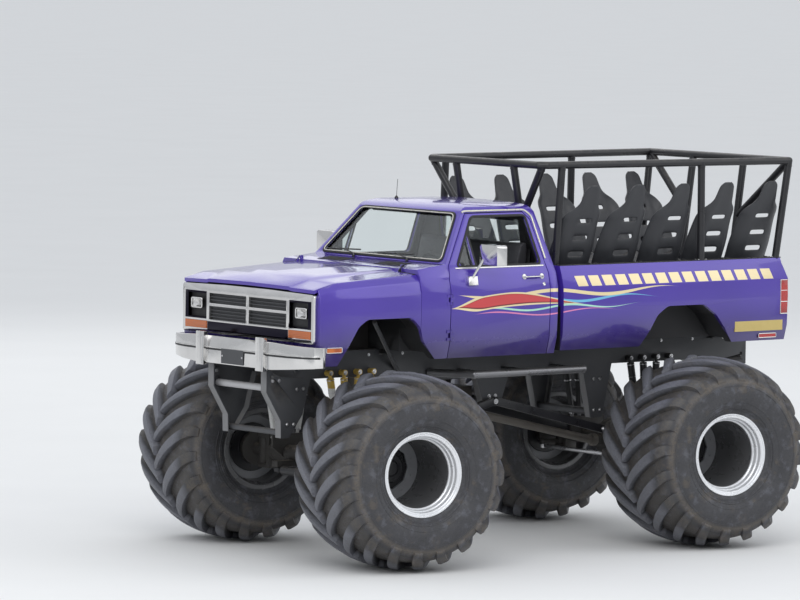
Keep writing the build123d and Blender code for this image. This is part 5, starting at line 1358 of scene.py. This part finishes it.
def add_frame_details():
    """Bolts on the frame's legs and plates, and rubber mounts with brackets between frame and body."""
    spots = [((x + dx, FRAME_Y, z), OUT, 0.011) for x, z in RAIL_LEGS for dx in (-0.035, 0.035)]
    spots += [((2.300 - 0.370 * index, FRAME_Y, 1.745), OUT, 0.009) for index in range(14)]
    bolts("frame_bolts", mirrored_spots(spots), "steel")
    mounts = [turned(MOUNT_LINE, 20, (x, 0.445, 1.789), UP) for x in MOUNT_SPOTS]
    piece("body_mounts", both(join(mounts)), "rubber")
    brackets = [box((x - 0.030, FRAME_Y + 0.0005, 1.742), (x + 0.030, 0.480, 1.755)) for x in MOUNT_SPOTS]
    piece("mount_brackets", both(join(brackets)), "frame", bevel=0.002)


def add_arch_braces():
    """Tubes from the frame up to the inner front arches, and their feet."""
    foot_plate = [(0, 0.036), (0.008, 0.036), (0.010, 0.0)]
    runs = [((1.2570, 0.425, 1.600), (1.800, 0.792, 2.060)), ((2.330, 0.425, 1.640), (2.020, 0.792, 2.060))]
    parts = [sweep([Vector(foot), Vector(head)], ring(0.019, 14), UP) for foot, head in runs]
    parts += [turned(foot_plate, 20, (foot[0], FRAME_Y, foot[2]), OUT) for foot, _ in runs]
    piece("arch_braces", both(join(parts)), "frame")


def add_shock_collars():
    """Collars, wipers and end bolts on the shock absorbers."""
    collars, heads = [], []
    for _, axle_x, _ in AXLES:
        for top, foot in ((-0.235, -0.120), (-0.080, -0.040), (0.080, 0.040), (0.235, 0.120)):
            high, low = Vector((axle_x + top, 0.458, 1.605)), Vector((axle_x + foot, 0.458, 0.975))
            length = (high - low).length
            for distance, radius, width in ((0.066, 0.026, 0.016), (length - 0.272, 0.032, 0.018),
                                            (length - 0.060, 0.032, 0.012), (length - 0.170, 0.032, 0.006)):
                collars.append(collar(low, high, distance / length, radius, width))
            heads += [bolt((eye.x, 0.480, eye.z), OUT, 0.013) for eye in (high, low)]
    piece("shock_collars", both(join(collars)), "steel")
    piece("shock_bolts", both(join(heads)), "steel")


def add_axle_details():
    """Bolts round the differentials' covers, and bands on the axle tubes and the differential's neck."""
    circle = 0.163
    turns = [2 * math.pi * index / 12 for index in range(12)]
    for axle, axle_x, _ in AXLES:
        ahead = 1 if axle == "front" else -1
        spots = [((axle_x + circle * math.cos(t), side * 0.0705, HUB_Z + circle * math.sin(t)),
                  (0.25 * math.cos(t), side, 0.25 * math.sin(t)), 0.008) for side in (1, -1) for t in turns]
        bolts(f"diff_bolts_{axle}", spots, "steel")
        bands = [collar((axle_x, side * 0.16, HUB_Z), (axle_x, side * 0.60, HUB_Z), share, 0.075, 0.018)
                 for side in (1, -1) for share in (0.10, 0.45, 0.93)]
        neck = [(axle_x - ahead * reach, 0, HUB_Z) for reach in (0.150, 0.240)]
        piece(f"axle_bands_{axle}", join(bands + [collar(*neck, 0.85, 0.055, 0.020)]), "iron")


def add_link_details():
    """Pivot bolts of the ladder bars."""
    pivots = ((0.180, 1.284), (-1.490, 0.892), (1.668, 0.892), (-1.060, 0.984))
    bolts("link_bolts", mirrored_spots([((x, 0.470, z), OUT, 0.016) for x, z in pivots]), "steel")


def add_underside():
    """Exhaust pipes with their mufflers."""
    bends = ((1.330, 0.250, 1.600), (1.200, 0.250, 1.560), (0.900, 0.240, 1.600), (0.050, 0.240, 1.600))
    pipe = rounded(bends, 0.08, 5)
    can = [(0, 0.0), (0.0, 0.040), (0.03, 0.075), (0.52, 0.075), (0.55, 0.040), (0.55, 0.0)]
    parts = [sweep(pipe, ring(0.028, 14), Vector((0, 1, 0.01))),
             turned(can, 32, (0.720, 0.240, 1.600), -AHEAD)]
    piece("exhausts", both(join(parts)), "iron")


# Camera, floor and light

def camera():
    """Camera at the photograph's place: azimuth from +X, elevation, roll and distance."""
    azimuth, elevation, roll = math.radians(51.58), math.radians(4.00), math.radians(0.76)
    back = Vector((math.cos(elevation) * math.cos(azimuth), math.cos(elevation) * math.sin(azimuth),
                   math.sin(elevation)))
    right = (-back).cross(UP).normalized()
    up = back.cross(right)
    side = right * math.cos(roll) + up * math.sin(roll)
    top = up * math.cos(roll) - right * math.sin(roll)
    place = Vector((0.894, -0.001, 2.168)) + back * 50.16
    data = bpy.data.cameras.new("camera")
    data.sensor_width = 36
    data.lens = 36 * 5744.8 / 800
    data.clip_end = 2000
    obj = bpy.data.objects.new("camera", data)
    columns = (side, top, back, place)
    obj.matrix_world = Matrix([[column[row] for column in columns] for row in range(3)] + [[0, 0, 0, 1]])
    bpy.context.scene.collection.objects.link(obj)
    bpy.context.scene.camera = obj


def floor():
    """Wide pale floor at the truck's feet."""
    mesh = bpy.data.meshes.new("floor")
    size = 900
    mesh.from_pydata([(-size, -size, 0), (size, -size, 0), (size, size, 0), (-size, size, 0)], [],
                     [(0, 1, 2, 3)])
    obj = bpy.data.objects.new("floor", mesh)
    bpy.context.scene.collection.objects.link(obj)
    net = Net("floor", Roughness=0.9)
    net.colour(net.mix(net.noise(0.6, 3), (0.78, 0.78, 0.77), (0.82, 0.82, 0.81)))
    mesh.materials.append(net.material)


def area_light(name, place, size, power):
    """Large soft lamp aimed at the truck's middle, out of the camera's sight."""
    data = bpy.data.lights.new(name, "AREA")
    data.shape = "DISK"
    data.size = size
    data.energy = power
    obj = bpy.data.objects.new(name, data)
    obj.location = place
    obj.rotation_mode = "QUATERNION"
    obj.rotation_quaternion = (Vector((0, 0, 1.6)) - Vector(place)).to_track_quat("-Z", "Y")
    obj.visible_camera = False
    bpy.context.scene.collection.objects.link(obj)


def world():
    """Soft dome, brighter towards its top."""
    scene = bpy.context.scene
    scene.world = bpy.data.worlds.new("studio")
    scene.world.use_nodes = True
    tree = scene.world.node_tree
    place = tree.nodes.new("ShaderNodeTexCoord")
    axes = tree.nodes.new("ShaderNodeSeparateXYZ")
    tree.links.new(place.outputs["Generated"], axes.inputs[0])
    ramp = tree.nodes.new("ShaderNodeMapRange")
    ramp.interpolation_type = "SMOOTHSTEP"
    tree.links.new(axes.outputs[2], ramp.inputs["Value"])
    for key, number in (("From Min", 0.02), ("From Max", 0.75), ("To Min", 0.0), ("To Max", 1.0)):
        ramp.inputs[key].default_value = number
    mix = tree.nodes.new("ShaderNodeMix")
    mix.data_type = "RGBA"
    tree.links.new(ramp.outputs[0], mix.inputs[0])
    mix.inputs[6].default_value = (0.56, 0.58, 0.61, 1)
    mix.inputs[7].default_value = (0.84, 0.87, 0.92, 1)
    tree.links.new(mix.outputs[2], tree.nodes["Background"].inputs[0])
    scene.view_settings.view_transform = "Standard"


# The scene

camera()
floor()
world()
area_light("key", (14, 16, 17), 20, 2300)
area_light("fill", (-14, 15, 12), 18, 700)
area_light("back", (-8, -17, 15), 22, 700)

dress_nodes()
add_wheels()
add_screen_trim()
add_rear_window_trim()
add_drip_rails()
for side_name, side_sign in SIDES:
    add_door_trim(side_name, side_sign)
    add_mirror_glass(side_name, side_sign)
add_wipers()
add_cowl_vents()
add_aerial()
add_steering_details()
add_bench()
add_headlamps()
add_markers()
add_bumper_details()
add_grille_edges()
add_seats()
add_rail_caps()
add_cage_feet()
add_cage_welds()
add_tail_lamps()
add_tailgate_details()
add_side_chips()
add_frame_details()
add_arch_braces()
add_shock_collars()
add_axle_details()
add_link_details()
add_underside()
